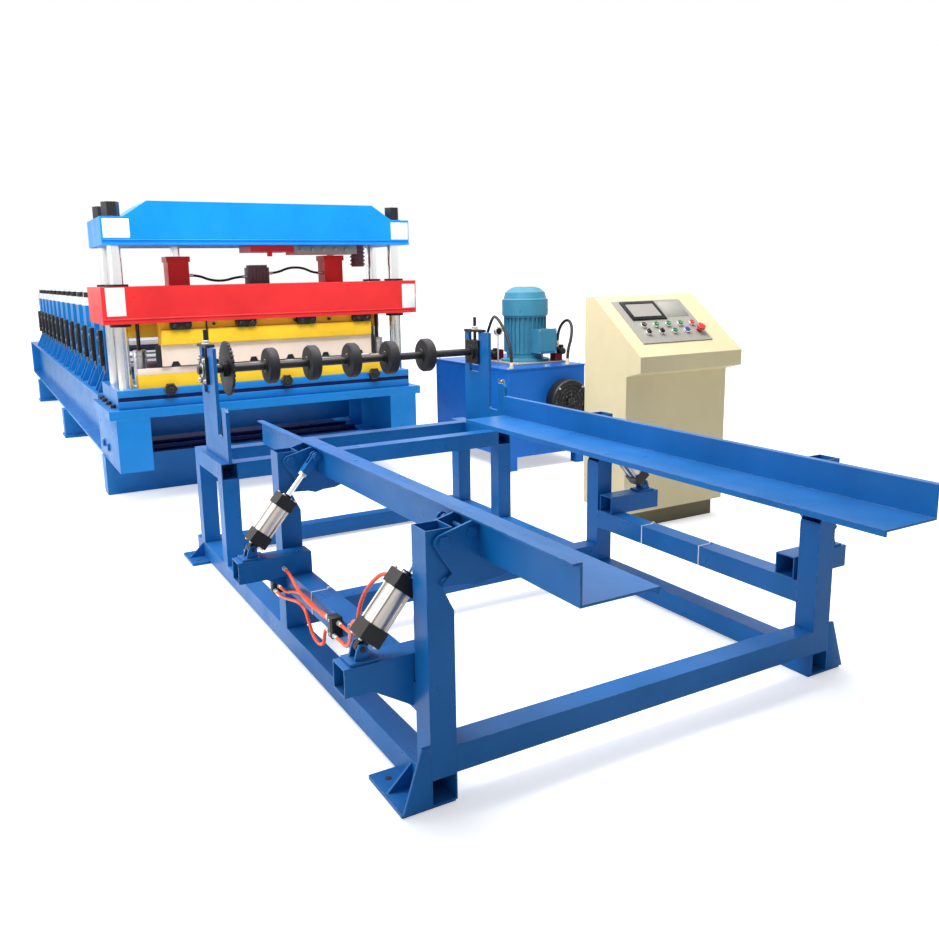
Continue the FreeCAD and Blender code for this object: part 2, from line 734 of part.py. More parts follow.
# Run-out frame that stands on the floor rails
portal_low = portal_top - tube
portal_tubes = []
for label, side in (("left", -1), ("right", 1)):
    across = (side * rail_in, side * rail_out)
    portal_tubes += [
        hollow(f"portal_{label}_top", across, (portal_near, portal_far), (portal_low, portal_top),
               "y"),
        hollow(f"portal_{label}_near_leg", across, (portal_near, portal_near + tube),
               (rail_high, portal_low), "z"),
        hollow(f"portal_{label}_far_leg", across, (portal_far - tube, portal_far),
               (rail_high, portal_low), "z")]
for label, start in (("near", portal_near), ("rear", rear_cross)):
    portal_tubes.append(hollow(f"portal_{label}_cross", (-rail_in, rail_in), (start, start + tube),
                               (portal_low, portal_top), "x"))
node("run_out_frame", [welded("run_out_weldment", portal_tubes)])

# Slotted stands that carry the wheel shaft
slot_near, slot_far = shaft_y - tall_slot_half, shaft_y + tall_slot_half
stand_left = profile("shaft_stand_left", "yz",
                     [(stand_near, portal_top), (stand_near, stand_low - 15),
                      (stand_near + 15, stand_low), (low_slot_near, stand_low),
                      (low_slot_near, low_slot_z + 12), (low_slot_near + 12, low_slot_z),
                      (stand_step - 12, low_slot_z), (stand_step, low_slot_z + 12),
                      (stand_step, stand_top), (slot_near, stand_top),
                      (slot_near, tall_slot_z), (slot_far, tall_slot_z),
                      (slot_far, stand_top), (stand_far, stand_top), (stand_far, portal_top)],
                     (-(rail_x + stand_thick / 2), -(rail_x - stand_thick / 2)))
node("shaft_stands", both_sides("shaft_stand", stand_left))

housing_half = given("bearing_housing_half", 66)
guard_thick = given("bearing_guard_thickness", 16)
stand_face = stand_thick / 2
housing = joined("housing_whole", [
    block("housing_core", (-(rail_x + stand_face), -(rail_x - stand_face)),
          (slot_near, slot_far), (shaft_z - housing_half, shaft_z + housing_half)),
    block("housing_outer", (-(rail_x + stand_face + guard_thick), -(rail_x + stand_face)),
          (shaft_y - housing_half, shaft_y + housing_half),
          (shaft_z - housing_half, shaft_z + housing_half)),
    block("housing_inner", (-(rail_x - stand_face - guard_thick), -(rail_x - stand_face)),
          (shaft_y - housing_half, shaft_y + housing_half),
          (shaft_z - housing_half, shaft_z + housing_half)),
    drum("housing_boss", "x", (-(rail_x - stand_face - guard_thick - 14), -rail_x),
         hub_radius + 8, y=shaft_y, z=shaft_z)])
housing = less("housing_left", housing, [
    drum("housing_bore", "x", (-(rail_x + 60), -(rail_x - 60)), shaft_radius + pin_play,
         y=shaft_y, z=shaft_z)])
node("bearing_housings", both_sides("housing", housing))
adjuster = joined("adjuster_left", [
    block("adjuster_bar", (-(rail_x + 22), -(rail_x - 22)), (slot_near - 34, slot_far + 34),
          (stand_top, stand_top + 14)),
    drum("adjuster_screw", "z", (shaft_z + housing_half, stand_top + 82), 9,
         x=-rail_x, y=shaft_y)])
node("height_adjusters", both_sides("adjuster", adjuster))

# Wheel shaft, sprocket with cut teeth, and five rubber wheels
node("wheel_shaft", [drum("shaft_bar", "x", (-shaft_half, shaft_half), shaft_radius,
                          y=shaft_y, z=shaft_z)])
sprocket = doc.addObject("PartDesign::Body", "sprocket_body")
disc_sketch = sprocket.newObject("Sketcher::SketchObject", "sprocket_disc")
disc_sketch.AttachmentSupport = [(sprocket.Origin.OriginFeatures[3], "")]
disc_sketch.MapMode = "FlatFace"
disc_sketch.addGeometry(Part.Circle(FreeCAD.Vector(), FreeCAD.Vector(0, 0, 1),
                                    float(sprocket_radius)), False)
disc_sketch.addConstraint(Sketcher.Constraint("Coincident", 0, 3, -1, 1))
disc_rule = disc_sketch.addConstraint(Sketcher.Constraint("Radius", 0, float(sprocket_radius)))
disc_sketch.setExpression(f"Constraints[{disc_rule}]", sprocket_radius.text)
disc_pad = sprocket.newObject("PartDesign::Pad", "sprocket_disc_pad")
disc_pad.Profile = disc_sketch
bind(disc_pad, "Length", sprocket_thick)
root = sprocket_radius - tooth_deep
gap_half = 3.1416 * sprocket_radius / tooth_count / 2
tooth_sketch = outline(sprocket, "tooth_gap", "xy",
                       [(sprocket_radius + 2, -gap_half), (sprocket_radius + 2, gap_half * 1.0),
                        (root + 2, gap_half * 0.7), (root, gap_half * 0.3),
                        (root, gap_half * -0.3), (root + 2, gap_half * -0.7)], as_size(0))
tooth_cut = sprocket.newObject("PartDesign::Pocket", "tooth_gap_pocket")
tooth_cut.Profile = tooth_sketch
tooth_cut.Type = "ThroughAll"
tooth_cut.Midplane = True
teeth = sprocket.newObject("PartDesign::PolarPattern", "tooth_ring")
teeth.Originals = [tooth_cut]
teeth.Axis = (disc_sketch, ["N_Axis"])
teeth.Angle = 360
bind(teeth, "Occurrences", tooth_count)
sprocket.Tip = teeth
sprocket.Placement = FreeCAD.Placement(FreeCAD.Vector(), TURNS["x"])
bind(sprocket, "Placement.Base.x", -(sprocket_x + sprocket_thick / 2))
bind(sprocket, "Placement.Base.y", shaft_y)
bind(sprocket, "Placement.Base.z", shaft_z)
sprocket_hub = drum("sprocket_hub", "x", (-(sprocket_x + 26), -(sprocket_x - 26)), hub_radius + 8,
                    y=shaft_y, z=shaft_z)
sprocket_bore = drum("sprocket_bore", "x", (-(sprocket_x + 27), -(sprocket_x - 27)), shaft_radius,
                     y=shaft_y, z=shaft_z)
node("sprocket", [less("sprocket_whole", joined("sprocket_solid", [sprocket, sprocket_hub]),
                       [sprocket_bore])])
hubs, tyres = [], []
for i in range(-2, 3):
    spot = wheel_pitch * i
    hub = drum(f"wheel_hub_{i + 2}", "x", (spot - wheel_wide / 2 - 6, spot + wheel_wide / 2 + 6),
               hub_radius, y=shaft_y, z=shaft_z)
    bore = drum(f"wheel_bore_{i + 2}", "x", (spot - wheel_wide, spot + wheel_wide), shaft_radius,
                y=shaft_y, z=shaft_z)
    hubs.append(less(f"wheel_hub_cut_{i + 2}", hub, [bore]))
    tyres.append(turned(f"tyre_{i + 2}", "x",
                        [(hub_radius, -wheel_wide / 2), (wheel_radius - 6, -wheel_wide / 2),
                         (wheel_radius, -wheel_wide / 2 + 8), (wheel_radius, wheel_wide / 2 - 8),
                         (wheel_radius - 6, wheel_wide / 2), (hub_radius, wheel_wide / 2)],
                        x=spot, y=shaft_y, z=shaft_z))
node("wheel_hubs", hubs)
node("rubber_wheels", tyres)

# Base beams under the shear and the former
beams = []
for label, side in (("left", -1), ("right", 1)):
    across = (side * beam_in, side * beam_out)
    middle = side * (beam_in + beam_out) / 2
    beams += [
        block(f"{label}_bottom_flange", across, (shear_near, former_far),
              (beam_low, beam_low + flange_thick)),
        block(f"{label}_top_flange", across, (former_near, former_far),
              (beam_top - flange_thick, beam_top)),
        block(f"{label}_shear_flange", across, (shear_near, former_near),
              (shear_floor - flange_thick, shear_floor)),
        block(f"{label}_web", (middle - web_thick / 2, middle + web_thick / 2),
              (former_near, former_far), (beam_low, beam_top)),
        block(f"{label}_shear_web", (middle - web_thick / 2, middle + web_thick / 2),
              (shear_near, former_near), (beam_low, shear_floor)),
        block(f"{label}_end_plate", across, (shear_near, shear_near + pad_thick),
              (beam_low, shear_floor)),
        block(f"{label}_step_plate", across, (former_near, former_near + pad_thick),
              (beam_low, beam_top)),
        block(f"{label}_far_plate", across, (former_far - pad_thick, former_far),
              (beam_low, beam_top))]
cross_step = (former_long - 400) / 5
for i in range(6):
    start = former_near + 150 + i * cross_step
    beams.append(block(f"base_cross_{i}", (-beam_in - 94, beam_in + 94), (start, start + 120),
                       (beam_low + 60, beam_top - 110)))
node("base_frame", [joined("base_weldment", beams)])

# Legs under the base
legs = []
leg_deep = given("leg_depth", 150)
front_leg = given("front_leg_y", 4244)
legs.append(block("front_leg_beam", (-beam_out - 10, beam_out + 10),
                  (front_leg, front_leg + leg_deep), (floor_z, beam_low)))
leg_first = given("second_leg_lead", 2465)
leg_last = given("last_leg_setback", 1175)
for i, start in enumerate((former_near + leg_first, former_far - leg_last)):
    shaft = block(f"leg_{i}", (-(beam_out + 26), -(beam_in - 10)), (start, start + leg_deep),
                  (20, beam_low))
    pad = block(f"leg_pad_{i}", (-(beam_out + 36), -(beam_in - 30)),
                (start - 50, start + leg_deep + 50), (floor_z, 20))
    legs += both_sides(f"leg_pair_{i}", joined(f"leg_left_{i}", [shaft, pad]))
node("base_legs", legs)

# Roll stands with their caps, bearing blocks and rolls
stands, caps, bearings, lower_rolls, upper_rolls = [], [], [], [], []
stand_in_x = stand_out_x - stand_deep
upright = profile("roll_stand_blank", "yz",
                  [(-stand_wide / 2 - 30, beam_top), (-stand_wide / 2 - 30, beam_top + 14),
                   (-stand_wide / 2, beam_top + 14), (-stand_wide / 2, stand_high),
                   (stand_wide / 2, stand_high), (stand_wide / 2, beam_top + 14),
                   (stand_wide / 2 + 30, beam_top + 14), (stand_wide / 2 + 30, beam_top)],
                  (-stand_out_x, -stand_in_x))
window = block("roll_stand_window", (-stand_out_x - 1, -stand_in_x + 1),
               (-window_half, window_half), (low_roll_z - window_half, up_roll_z + window_half + 60))
ribs = [profile(f"roll_stand_rib_{i}", "xz",
                [(-stand_out_x, beam_top), (-(beam_out - 22), beam_top),
                 (-(beam_out - 22), beam_top + 12), (-stand_out_x, rib_top)],
                (y - rib_thick / 2, y + rib_thick / 2))
        for i, y in enumerate((-rib_spot, rib_spot))]
upright = less("roll_stand_upright", joined("roll_stand_whole", [upright] + ribs), [window])
cap_top = stand_high + cap_deep
stand_mid_x = (stand_out_x + stand_in_x) / 2
cap = group("roll_stand_cap", [
    block("cap_block", (-stand_out_x - 4, -stand_in_x + 4), (-stand_wide / 2, stand_wide / 2),
          (stand_high, cap_top)),
    block("cap_bar", (-stand_mid_x - 14, -stand_mid_x + 14), (-stand_wide / 2, stand_wide / 2),
          (screw_high, cap_high))])
bearing = group("bearing_set", [
    joined("bearing_pair", [
        block("bearing_low", (-stand_out_x - 8, -stand_in_x + 8), (-window_half, window_half),
              (low_roll_z - window_half, low_roll_z + window_half)),
        block("bearing_up", (-stand_out_x - 8, -stand_in_x + 8), (-window_half, window_half),
              (up_roll_z - window_half, up_roll_z + window_half)),
        block("bearing_spacer", (-stand_out_x + 10, -stand_in_x - 10), (-20, 20),
              (low_roll_z + window_half, up_roll_z - window_half))]),
    prism("cap_screw_near", "z", (cap_top, screw_high), 17, 6, x=-stand_mid_x, y=-screw_spot),
    prism("cap_screw_far", "z", (cap_top, screw_high), 17, 6, x=-stand_mid_x, y=screw_spot)])


def roll(name, z, discs):
    """A plain bar between two bearings with the shaped discs on it."""
    end = stand_in_x - 8
    bar = [prism(name + "_bar", "x", (-end, end), roll_shaft, 10, y=0, z=z)]
    bar += [prism(f"{name}_disc_{i}", "x", (x - w, x + w), r, 20, y=0, z=z)
            for i, (x, w, r) in enumerate(discs)]
    return joined(name, bar)


roll_gap = up_roll_z - low_roll_z
lower_roll = roll("lower_roll", low_roll_z, [(x, 150, roll_radius) for x in (-500, 0, 500)])
upper_roll = roll("upper_roll", up_roll_z,
                  [(x, 80, roll_gap - roll_radius - 6) for x in (-250, 250)])
for i in range(STANDS):
    spot = former_near + stand_lead + i * stand_pitch
    for label, source, bag in (("stand", upright, stands), ("cap", cap, caps),
                               ("bearing", bearing, bearings)):
        bag += both_sides(f"{label}_{i}", moved(f"{label}_{i}", source, y=spot))
    lower_rolls.append(moved(f"lower_roll_{i}", lower_roll, y=spot))
    upper_rolls.append(moved(f"upper_roll_{i}", upper_roll, y=spot))
node("roll_stands", stands)
node("stand_caps", caps)
node("roll_bearings", bearings)
node("lower_rolls", lower_rolls)
node("upper_rolls", upper_rolls)

# Shear bed, dies and the upper blade
node("lower_bed", [block("lower_bed_plate", (-bed_half, bed_half), (shear_near, shear_far),
                         (shear_floor, bed_top))])
knobs = [prism(f"bed_knob_{i}", "y", (upper_bed_near - knob_long, upper_bed_near), knob_radius, 12,
               x=x, z=knob_z)
         for i, x in enumerate((-678, 79, 717))]
sleeves, sleeve_bores = [], []
for i, side in enumerate((-1, 1)):
    spot = {"x": side * guide_x, "y": guide_y}
    sleeves.append(drum(f"guide_sleeve_{i}", "z", (upper_bed_top, guide_top), guide_radius, **spot))
    sleeve_bores.append(drum(f"guide_bore_{i}", "z", (upper_bed_top, guide_top + 1),
                             guide_rod + slide_play, **spot))
bed_block = block("upper_bed_plate", (-upper_bed_half, upper_bed_half),
                  (upper_bed_near, shear_far - 7), (bed_top, upper_bed_top))
node("upper_bed", [less("upper_bed_whole", joined("upper_bed_solid", [bed_block] + knobs + sleeves),
                        sleeve_bores)])
node("lower_die", [joined("lower_die_and_blade", [
    block("lower_die_bar", (-low_die_half, low_die_half), (die_near, die_near + die_deep),
          (upper_bed_top, low_die_top)),
    block("lower_blade_bar", (-low_die_half, low_die_half), (die_near, die_near + blade_thick),
          (low_die_top, slot_low))])])
blade_far = die_near - slide_play
up_die_near = blade_far - blade_thick
node("upper_die", [block("upper_die_bar", (-up_die_half, up_die_half),
                         (up_die_near, up_die_near + die_deep), (up_die_low, slide_low))])
blade_edge = [(-up_die_half, up_die_low), (-up_die_half, blade_low)]
for i in range(6):
    middle = rib_pitch * (i - 2.5) - 4
    blade_edge += [(middle - 30, blade_low), (middle - 17, blade_low + rib_high),
                   (middle + 17, blade_low + rib_high), (middle + 30, blade_low)]
blade_edge += [(up_die_half, blade_low), (up_die_half, up_die_low)]
node("upper_blade", [profile("upper_blade_bar", "xz", blade_edge, (up_die_near, blade_far))])

# Slide, columns and crown
column_spots = [(sx * column_x, y) for sx in (-1, 1) for y in (column_near, column_far)]
slide_holes = [drum(f"slide_hole_{i}", "z", (slide_low - 1, slide_high + 1),
                    column_radius + slide_play, x=x, y=y)
               for i, (x, y) in enumerate(column_spots)]
slide_bar = block("slide_bar", (-slide_half, slide_half), (shear_near, slide_far),
                  (slide_low, slide_high))
node("slide_beam", [less("slide_drilled", slide_bar, slide_holes)])
node("columns", [drum(f"column_{i}", "z", (upper_bed_top, column_top), column_radius, x=x, y=y)
                 for i, (x, y) in enumerate(column_spots)])
crown_near = shear_near + 20
crown_blank = profile("crown_blank", "xz",
                      [(-crown_half, crown_low), (-crown_half, crown_end),
                       (-crown_half + 130, crown_end), (-crown_half + 274, crown_high),
                       (crown_half - 274, crown_high), (crown_half - 130, crown_end),
                       (crown_half, crown_end), (crown_half, crown_low)],
                      (crown_near, slide_far - 20))
crown_lip = block("crown_lip", (-crown_half, crown_half), (crown_near - 10, crown_near),
                  (crown_low, crown_low + plate))
crown_holes = [drum(f"crown_hole_{i}", "z", (crown_low - 1, crown_end + 1), column_radius, x=x, y=y)
               for i, (x, y) in enumerate(column_spots)]
node("crown_beam", [less("crown_drilled", joined("crown_whole", [crown_blank, crown_lip]),
                         crown_holes)])
nuts = []
for i, (x, y) in enumerate(column_spots):
    nut = prism(f"column_nut_{i}", "z", (crown_end, crown_end + nut_high), nut_radius, 6, x=x, y=y)
    nuts.append(less(f"column_nut_cut_{i}", nut,
                     [drum(f"nut_bore_{i}", "z", (crown_end - 1, crown_end + nut_high + 1),
                           column_radius, x=x, y=y)]))
node("column_nuts", nuts)

# Cylinders that stand on the slide, with rods that hang from the crown
press_y = (column_near + column_far) / 2
press_bodies, press_rods = [], []
for label, side in (("left", -1), ("right", 1)):
    centre = side * press_x
    blank = joined(f"press_blank_{label}", [
        block(f"press_body_{label}", (centre - press_half, centre + press_half),
              (press_y - press_half, press_y + press_half), (slide_high, press_top)),
        block(f"press_ledge_{label}", (centre - press_half - 8, centre + press_half + 8),
              (press_y - press_half - 8, press_y + press_half + 8), (press_top - 34, press_top))])
    bore = drum(f"press_bore_{label}", "z", (slide_high + 14, press_top + 1), press_rod + pin_play,
                x=centre, y=press_y)
    press_bodies.append(less(f"press_cylinder_{label}", blank, [bore]))
    press_rods.append(drum(f"press_rod_{label}", "z", (slide_high + 29, crown_low), press_rod,
                           x=centre, y=press_y))
node("press_cylinders", press_bodies)
node("press_rods", press_rods)

# Bushings, die clamps, guide rods and the ribbed valve of the slide
fittings = []
for label, low, high, radius in (("top", slide_high, slide_high + 14, 66),
                                 ("under", slide_low - 20, slide_low, 62)):
    for i, (x, y) in enumerate(column_spots):
        ring = drum(f"bushing_{label}_{i}", "z", (low, high), radius, x=x, y=y)
        hole = drum(f"bushing_{label}_hole_{i}", "z", (low - 1, high + 1),
                    column_radius + slide_play, x=x, y=y)
        fittings.append(less(f"bushing_{label}_cut_{i}", ring, [hole]))
for i, x in enumerate((-587, -174, 234, 634)):
    foot_z = slide_low - clamp_high
    edge = [(-65, slide_low), (-65, foot_z + 14), (-52, foot_z), (-14, foot_z), (0, foot_z + 12),
            (14, foot_z), (52, foot_z), (65, foot_z + 14), (65, slide_low)]
    fittings.append(profile(f"die_clamp_{i}", "xz", [(x + a, b) for a, b in edge],
                            (up_die_near - 40, up_die_near)))
for i, side in enumerate((-1, 1)):
    fittings.append(prism(f"guide_rod_{i}", "z", (guide_top - 40, slide_low), guide_rod, 12,
                          x=side * guide_x, y=guide_y))
valve_ribs = [block(f"valve_rib_{i}", (x - 5, x + 5), (valve_near - 8, valve_near),
                    (slide_high + 12, valve_top - 12))
              for i, x in enumerate((-56, -34, -12, 12, 34, 56))]
fittings.append(joined("centre_valve", [
    block("valve_body", (-70, 70), (valve_near, valve_near + 100), (slide_high, valve_top)),
    block("valve_lid", (-60, 60), (valve_near + 10, valve_near + 90), (valve_top, valve_top + 16))]
    + valve_ribs))
node("slide_fittings", fittings)

# Oil manifold and accumulator under the crown
manifold = joined("manifold_whole", [
    block("manifold_block", (-100, 190), (crown_near + 60, press_y + 40), (crown_low - 41, crown_low)),
    block("manifold_plate", (190, 640), (crown_near + 60, press_y - 60),
          (crown_low - 59, crown_low)),
    prism("manifold_port", "z", (crown_low - 70, crown_low - 41), 18, 8, x=40, y=crown_near + 110)])
drum_rings = [drum(f"accumulator_ring_{i}", "z", (crown_low - 130 + i * 26, crown_low - 118 + i * 26),
                   52, x=740, y=press_y)
              for i in range(5)]
node("crown_manifold", [manifold, joined("accumulator", drum_rings + [
    drum("accumulator_core", "z", (crown_low - 141, crown_low), 44, x=740, y=press_y)])])

# Hydraulic station
tank_shell = less("tank_shell", block("tank_box", (tank_left, tank_right), (tank_near, tank_far),
                                      (tank_low, tank_top)),
                  [block("tank_inside", (tank_left + plate, tank_right - plate),
                         (tank_near + plate, tank_far - plate), (tank_low + plate, tank_top + 1))])
tank_feet = [block(f"tank_foot_{i}", (x, x + 70), (y, y + 70), (floor_z, tank_low))
             for i, (x, y) in enumerate(((tank_left, tank_near), (tank_right - 70, tank_near),
                                         (tank_left, tank_far - 70),
                                         (tank_right - 70, tank_far - 70)))]
node("oil_tank", [joined("tank_weldment", [tank_shell] + tank_feet)])
lid_top = tank_top + lid_thick
lid_pieces = [block("lid_plate", (tank_left - 6, tank_right), (tank_near - 6, tank_far),
                    (tank_top, lid_top))]
for i, (x, y, long, high) in enumerate(((1870, 3980, 200, 86), (2218, 3580, 66, 118))):
    lid_pieces += [
        block(f"valve_block_{i}", (x - long / 2, x + long / 2), (y - 34, y + 34), (lid_top, lid_top + high)),
        prism(f"valve_coil_{i}", "y", (y - 92, y - 34), 24, 12, x=x, z=lid_top + high - 30)]
node("tank_lid", [joined("lid_whole", lid_pieces)])
core = motor_radius - fin_deep
motor_pieces = [
    turned("motor_body", "z",
           [(0, lid_top), (motor_radius + 22, lid_top), (motor_radius + 22, lid_top + 24),
            (motor_radius - 24, lid_top + 34), (motor_radius - 24, lid_top + 60), (core, lid_top + 70),
            (core, motor_top - 14), (motor_radius + 2, motor_top - 14), (motor_radius + 2, motor_top),
            (0, motor_top)], x=motor_x, y=motor_y),
    block("terminal_box", (motor_x - 40, motor_x + 118), (motor_y - 245, motor_y - 140),
          (lid_top + 78, lid_top + 257))]
for i in range(FINS):
    fin = block(f"motor_fin_{i}", (core - 6, motor_radius), (-3, 3), (lid_top + 80, motor_top - 14))
    turn = group(f"motor_fin_turn_{i}", [fin])
    turn.Placement = FreeCAD.Placement(FreeCAD.Vector(),
                                       FreeCAD.Rotation(FreeCAD.Vector(0, 0, 1), 360 / FINS * i))
    bind(turn, "Placement.Base.x", motor_x)
    bind(turn, "Placement.Base.y", motor_y)
    motor_pieces.append(turn)
node("pump_motor", [joined("motor_whole", motor_pieces)])
node("motor_cover", [turned("cover_body", "z",
                            [(0, motor_top), (motor_radius + 12, motor_top),
                             (motor_radius + 12, cover_top - 96), (motor_radius, cover_top - 84),
                             (motor_radius - 12, cover_top - 38), (motor_radius - 56, cover_top - 8),
                             (motor_radius - 80, cover_top), (0, cover_top)],
                            x=motor_x, y=motor_y)])
node("oil_cooler", [turned("cooler_body", "y",
                           [(0, 14), (cooler_radius - 22, 14), (cooler_radius - 22, 0),
                            (cooler_radius - 8, 0), (cooler_radius, 10), (cooler_radius, 90),
                            (0, 90)],
                           x=cooler_x, y=tank_near - 90, z=cooler_z)])

# Control cabinet
plinth_in = given("cabinet_plinth_inset", 40)
node("cabinet_plinth", [block("plinth_box", (box_left + plinth_in, box_right - plinth_in),
                              (box_near + plinth_in, box_far - plinth_in), (floor_z, box_low))])
cabinet = profile("cabinet_shell", "yz",
                  [(box_near, box_low), (box_near, box_lip_low - 30), (box_lip, box_lip_low),
                   (box_lip, box_lip_high), (box_ridge, box_top), (box_far, box_top),
                   (box_far, box_low)], (box_left, box_right))
node("cabinet_body", [cabinet])

# Control panel, built flat and then leaned onto the sloping desk
run, rise = box_ridge - box_lip, box_top - box_lip_high
controls = [
    block("panel_plate", (panel_left, panel_right), (97, 450), (0, panel_thick)),
    block("screen_bezel", (1443, 1690), (283, 435), (panel_thick, panel_thick + 7))]
for i in range(5):
    controls.append(prism(f"upper_button_{i}", "z", (panel_thick, panel_thick + 18), button_radius, 16,
                          x=1482 + i * 88, y=233))
for i in range(4):
    controls.append(prism(f"lower_button_{i}", "z", (panel_thick, panel_thick + 18), button_radius, 16,
                          x=1478 + i * 93.5, y=175))
controls += [prism("stop_stem", "z", (panel_thick, panel_thick + 20), button_radius, 16, x=1852, y=175),
             prism("stop_head", "z", (panel_thick + 20, panel_thick + 36), button_radius * 1.7, 20,
                   x=1852, y=175)]
panel = group("panel_leaned", [joined("panel_whole", controls)])
panel.Placement = FreeCAD.Placement(FreeCAD.Vector(), FreeCAD.Rotation(FreeCAD.Vector(1, 0, 0), 1))
bind(panel, "Placement.Base.y", box_lip)
bind(panel, "Placement.Base.z", box_lip_high)
bind(panel, "Placement.Rotation.Angle", slope(run, rise))
node("control_panel", [panel])

# Air hoses of the near left cylinder, and the ones that run on to the far one
air_hose = given("air_hose_radius", 6)
node("cylinder_hoses", [
    cord("low_port_hose", [(-826, 600, 290), (-826, 540, 290), (-836, 470, 302), (-852, 400, 350),
                           (-876, 330, 412), (-894, 275, 464), (-902, 230, 490), (-902, 171, 490)],
         float(air_hose)),
    cord("top_port_hose", [(-811, 600, 330), (-811, 524, 330), (-816, 455, 342), (-822, 412, 392),
                           (-822, 396, 445), (-818, 368, 502), (-812, 305, 565), (-801, 238, 610),
                           (-801, 171, 610)], float(air_hose))])
# Oil hoses of the station are thicker
oil_hose = given("oil_hose_radius", 11)
node("line_hoses", [
    cord("air_line_top", [(-826, 1094, 372), (-826, 1034, 372), (-826, 950, 336), (-826, 860, 323),
                          (-826, 753, 323), (-826, 696, 335), (-826, 640, 335)], float(air_hose)),
    cord("air_line_middle", [(-811, 1215, 262), (-811, 1120, 262), (-811, 1050, 294),
                             (-811, 946, 316), (-811, 855, 316), (-811, 742, 304),
                             (-811, 694, 312), (-811, 640, 312)], float(air_hose)),
    cord("air_line_loop", [(-826, 1215, 246), (-826, 1140, 246), (-826, 1060, 262), (-826, 940, 292),
                           (-826, 874, 286), (-826, 840, 248), (-826, 806, 212), (-826, 748, 202),
                           (-826, 700, 224), (-826, 688, 268), (-826, 672, 290), (-826, 640, 290)],
         float(air_hose)),
    cord("return_hose", [(1820, 3975, 838), (1820, 3975, 920), (1812, 3900, 1030),
                         (1770, 3790, 1096), (1706, 3650, 1122), (1672, 3520, 1080),
                         (1660, 3410, 980), (1656, 3350, 870), (1656, 3350, 752)],
         float(oil_hose)),
    cord("pressure_hose", [(2218, 3566, 870), (2218, 3566, 950), (2224, 3530, 1040),
                           (2234, 3460, 1084), (2224, 3390, 1044), (2190, 3350, 950),
                           (2146, 3340, 850), (2146, 3340, 752)], float(oil_hose))])
press_hose = given("press_hose_radius", 8)
node("press_hoses", [
    cord("left_press_hose", [(-464, 3930, 1458), (-400, 3930, 1458), (-320, 3930, 1424),
                             (-230, 3930, 1418), (-136, 3936, 1444), (-70, 3936, 1444)],
         float(press_hose)),
    cord("right_press_hose", [(70, 3936, 1464), (134, 3936, 1464), (220, 3932, 1500),
                              (320, 3932, 1498), (400, 3936, 1460), (464, 3936, 1460)],
         float(press_hose))])

doc.recompute()
faults = []
for thing in doc.Objects:
    state = set(thing.State)
    if "Invalid" in state or "Error" in state:
        faults.append(thing.Name)
for part in nodes:
    shape = part.Shape
    if shape.isNull() or not shape.isValid() or not shape.Solids:
        faults.append(part.Label)
        continue
    shape.exportStep(f"parts/{part.Label}.step")
    box = shape.BoundBox
    print(part.Label, len(shape.Solids), "solids",
          f"{box.XMin:.0f}..{box.XMax:.0f} {box.YMin:.0f}..{box.YMax:.0f} {box.ZMin:.0f}..{box.ZMax:.0f}")
if faults:
    raise ValueError("parts that failed: " + ", ".join(faults))
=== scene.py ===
"""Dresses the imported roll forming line: finishes, small fittings, hoses, studio and camera.

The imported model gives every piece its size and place. X runs across the line, Y along it from
the stacker to the roll former, and Z up, all in metres.
"""
import logging
import math
from collections.abc import Iterable, Sequence
from dataclasses import dataclass
from enum import Enum

import bmesh
import bpy
from mathutils import Matrix, Vector


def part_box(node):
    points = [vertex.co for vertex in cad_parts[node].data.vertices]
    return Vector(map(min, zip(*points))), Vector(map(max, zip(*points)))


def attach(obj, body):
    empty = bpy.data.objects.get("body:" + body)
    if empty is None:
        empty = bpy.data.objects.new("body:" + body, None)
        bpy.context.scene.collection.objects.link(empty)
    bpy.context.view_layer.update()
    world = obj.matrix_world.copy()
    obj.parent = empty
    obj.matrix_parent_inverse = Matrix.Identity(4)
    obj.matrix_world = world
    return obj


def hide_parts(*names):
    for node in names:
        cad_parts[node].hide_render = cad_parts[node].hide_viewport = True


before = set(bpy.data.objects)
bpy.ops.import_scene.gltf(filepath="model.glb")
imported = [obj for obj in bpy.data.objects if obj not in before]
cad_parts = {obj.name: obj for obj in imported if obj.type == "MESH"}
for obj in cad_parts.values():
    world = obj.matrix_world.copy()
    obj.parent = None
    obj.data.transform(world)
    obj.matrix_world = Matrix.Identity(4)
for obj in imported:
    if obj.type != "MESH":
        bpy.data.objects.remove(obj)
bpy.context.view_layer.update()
LOG = logging.getLogger("roll_forming_line")

Colour = tuple[float, float, float]
Point = tuple[float, float, float]
Pair = tuple[float, float]
Piece = bpy.types.Object
Socket = bpy.types.NodeSocket

X, Y, Z = Vector((1, 0, 0)), Vector((0, 1, 0)), Vector((0, 0, 1))
SIDES = (-1, 1)
# How far a dressed skin stands out from the solid that it covers.
SKIN = 0.0006
# The foot of a small part sinks this far into what it stands on.
SUNK = Vector((0, 0, -0.0005))
# Faces that look one way have normals at least this much alike.
ALIKE = 0.999


def linear(red: int, green: int, blue: int) -> Colour:
    """Turn a colour as a screen shows it, 0 to 255, into the light values that shaders take."""
    def channel(value: int) -> float:
        part = value / 255
        return part / 12.92 if part <= 0.04045 else ((part + 0.055) / 1.055) ** 2.4
    return channel(red), channel(green), channel(blue)


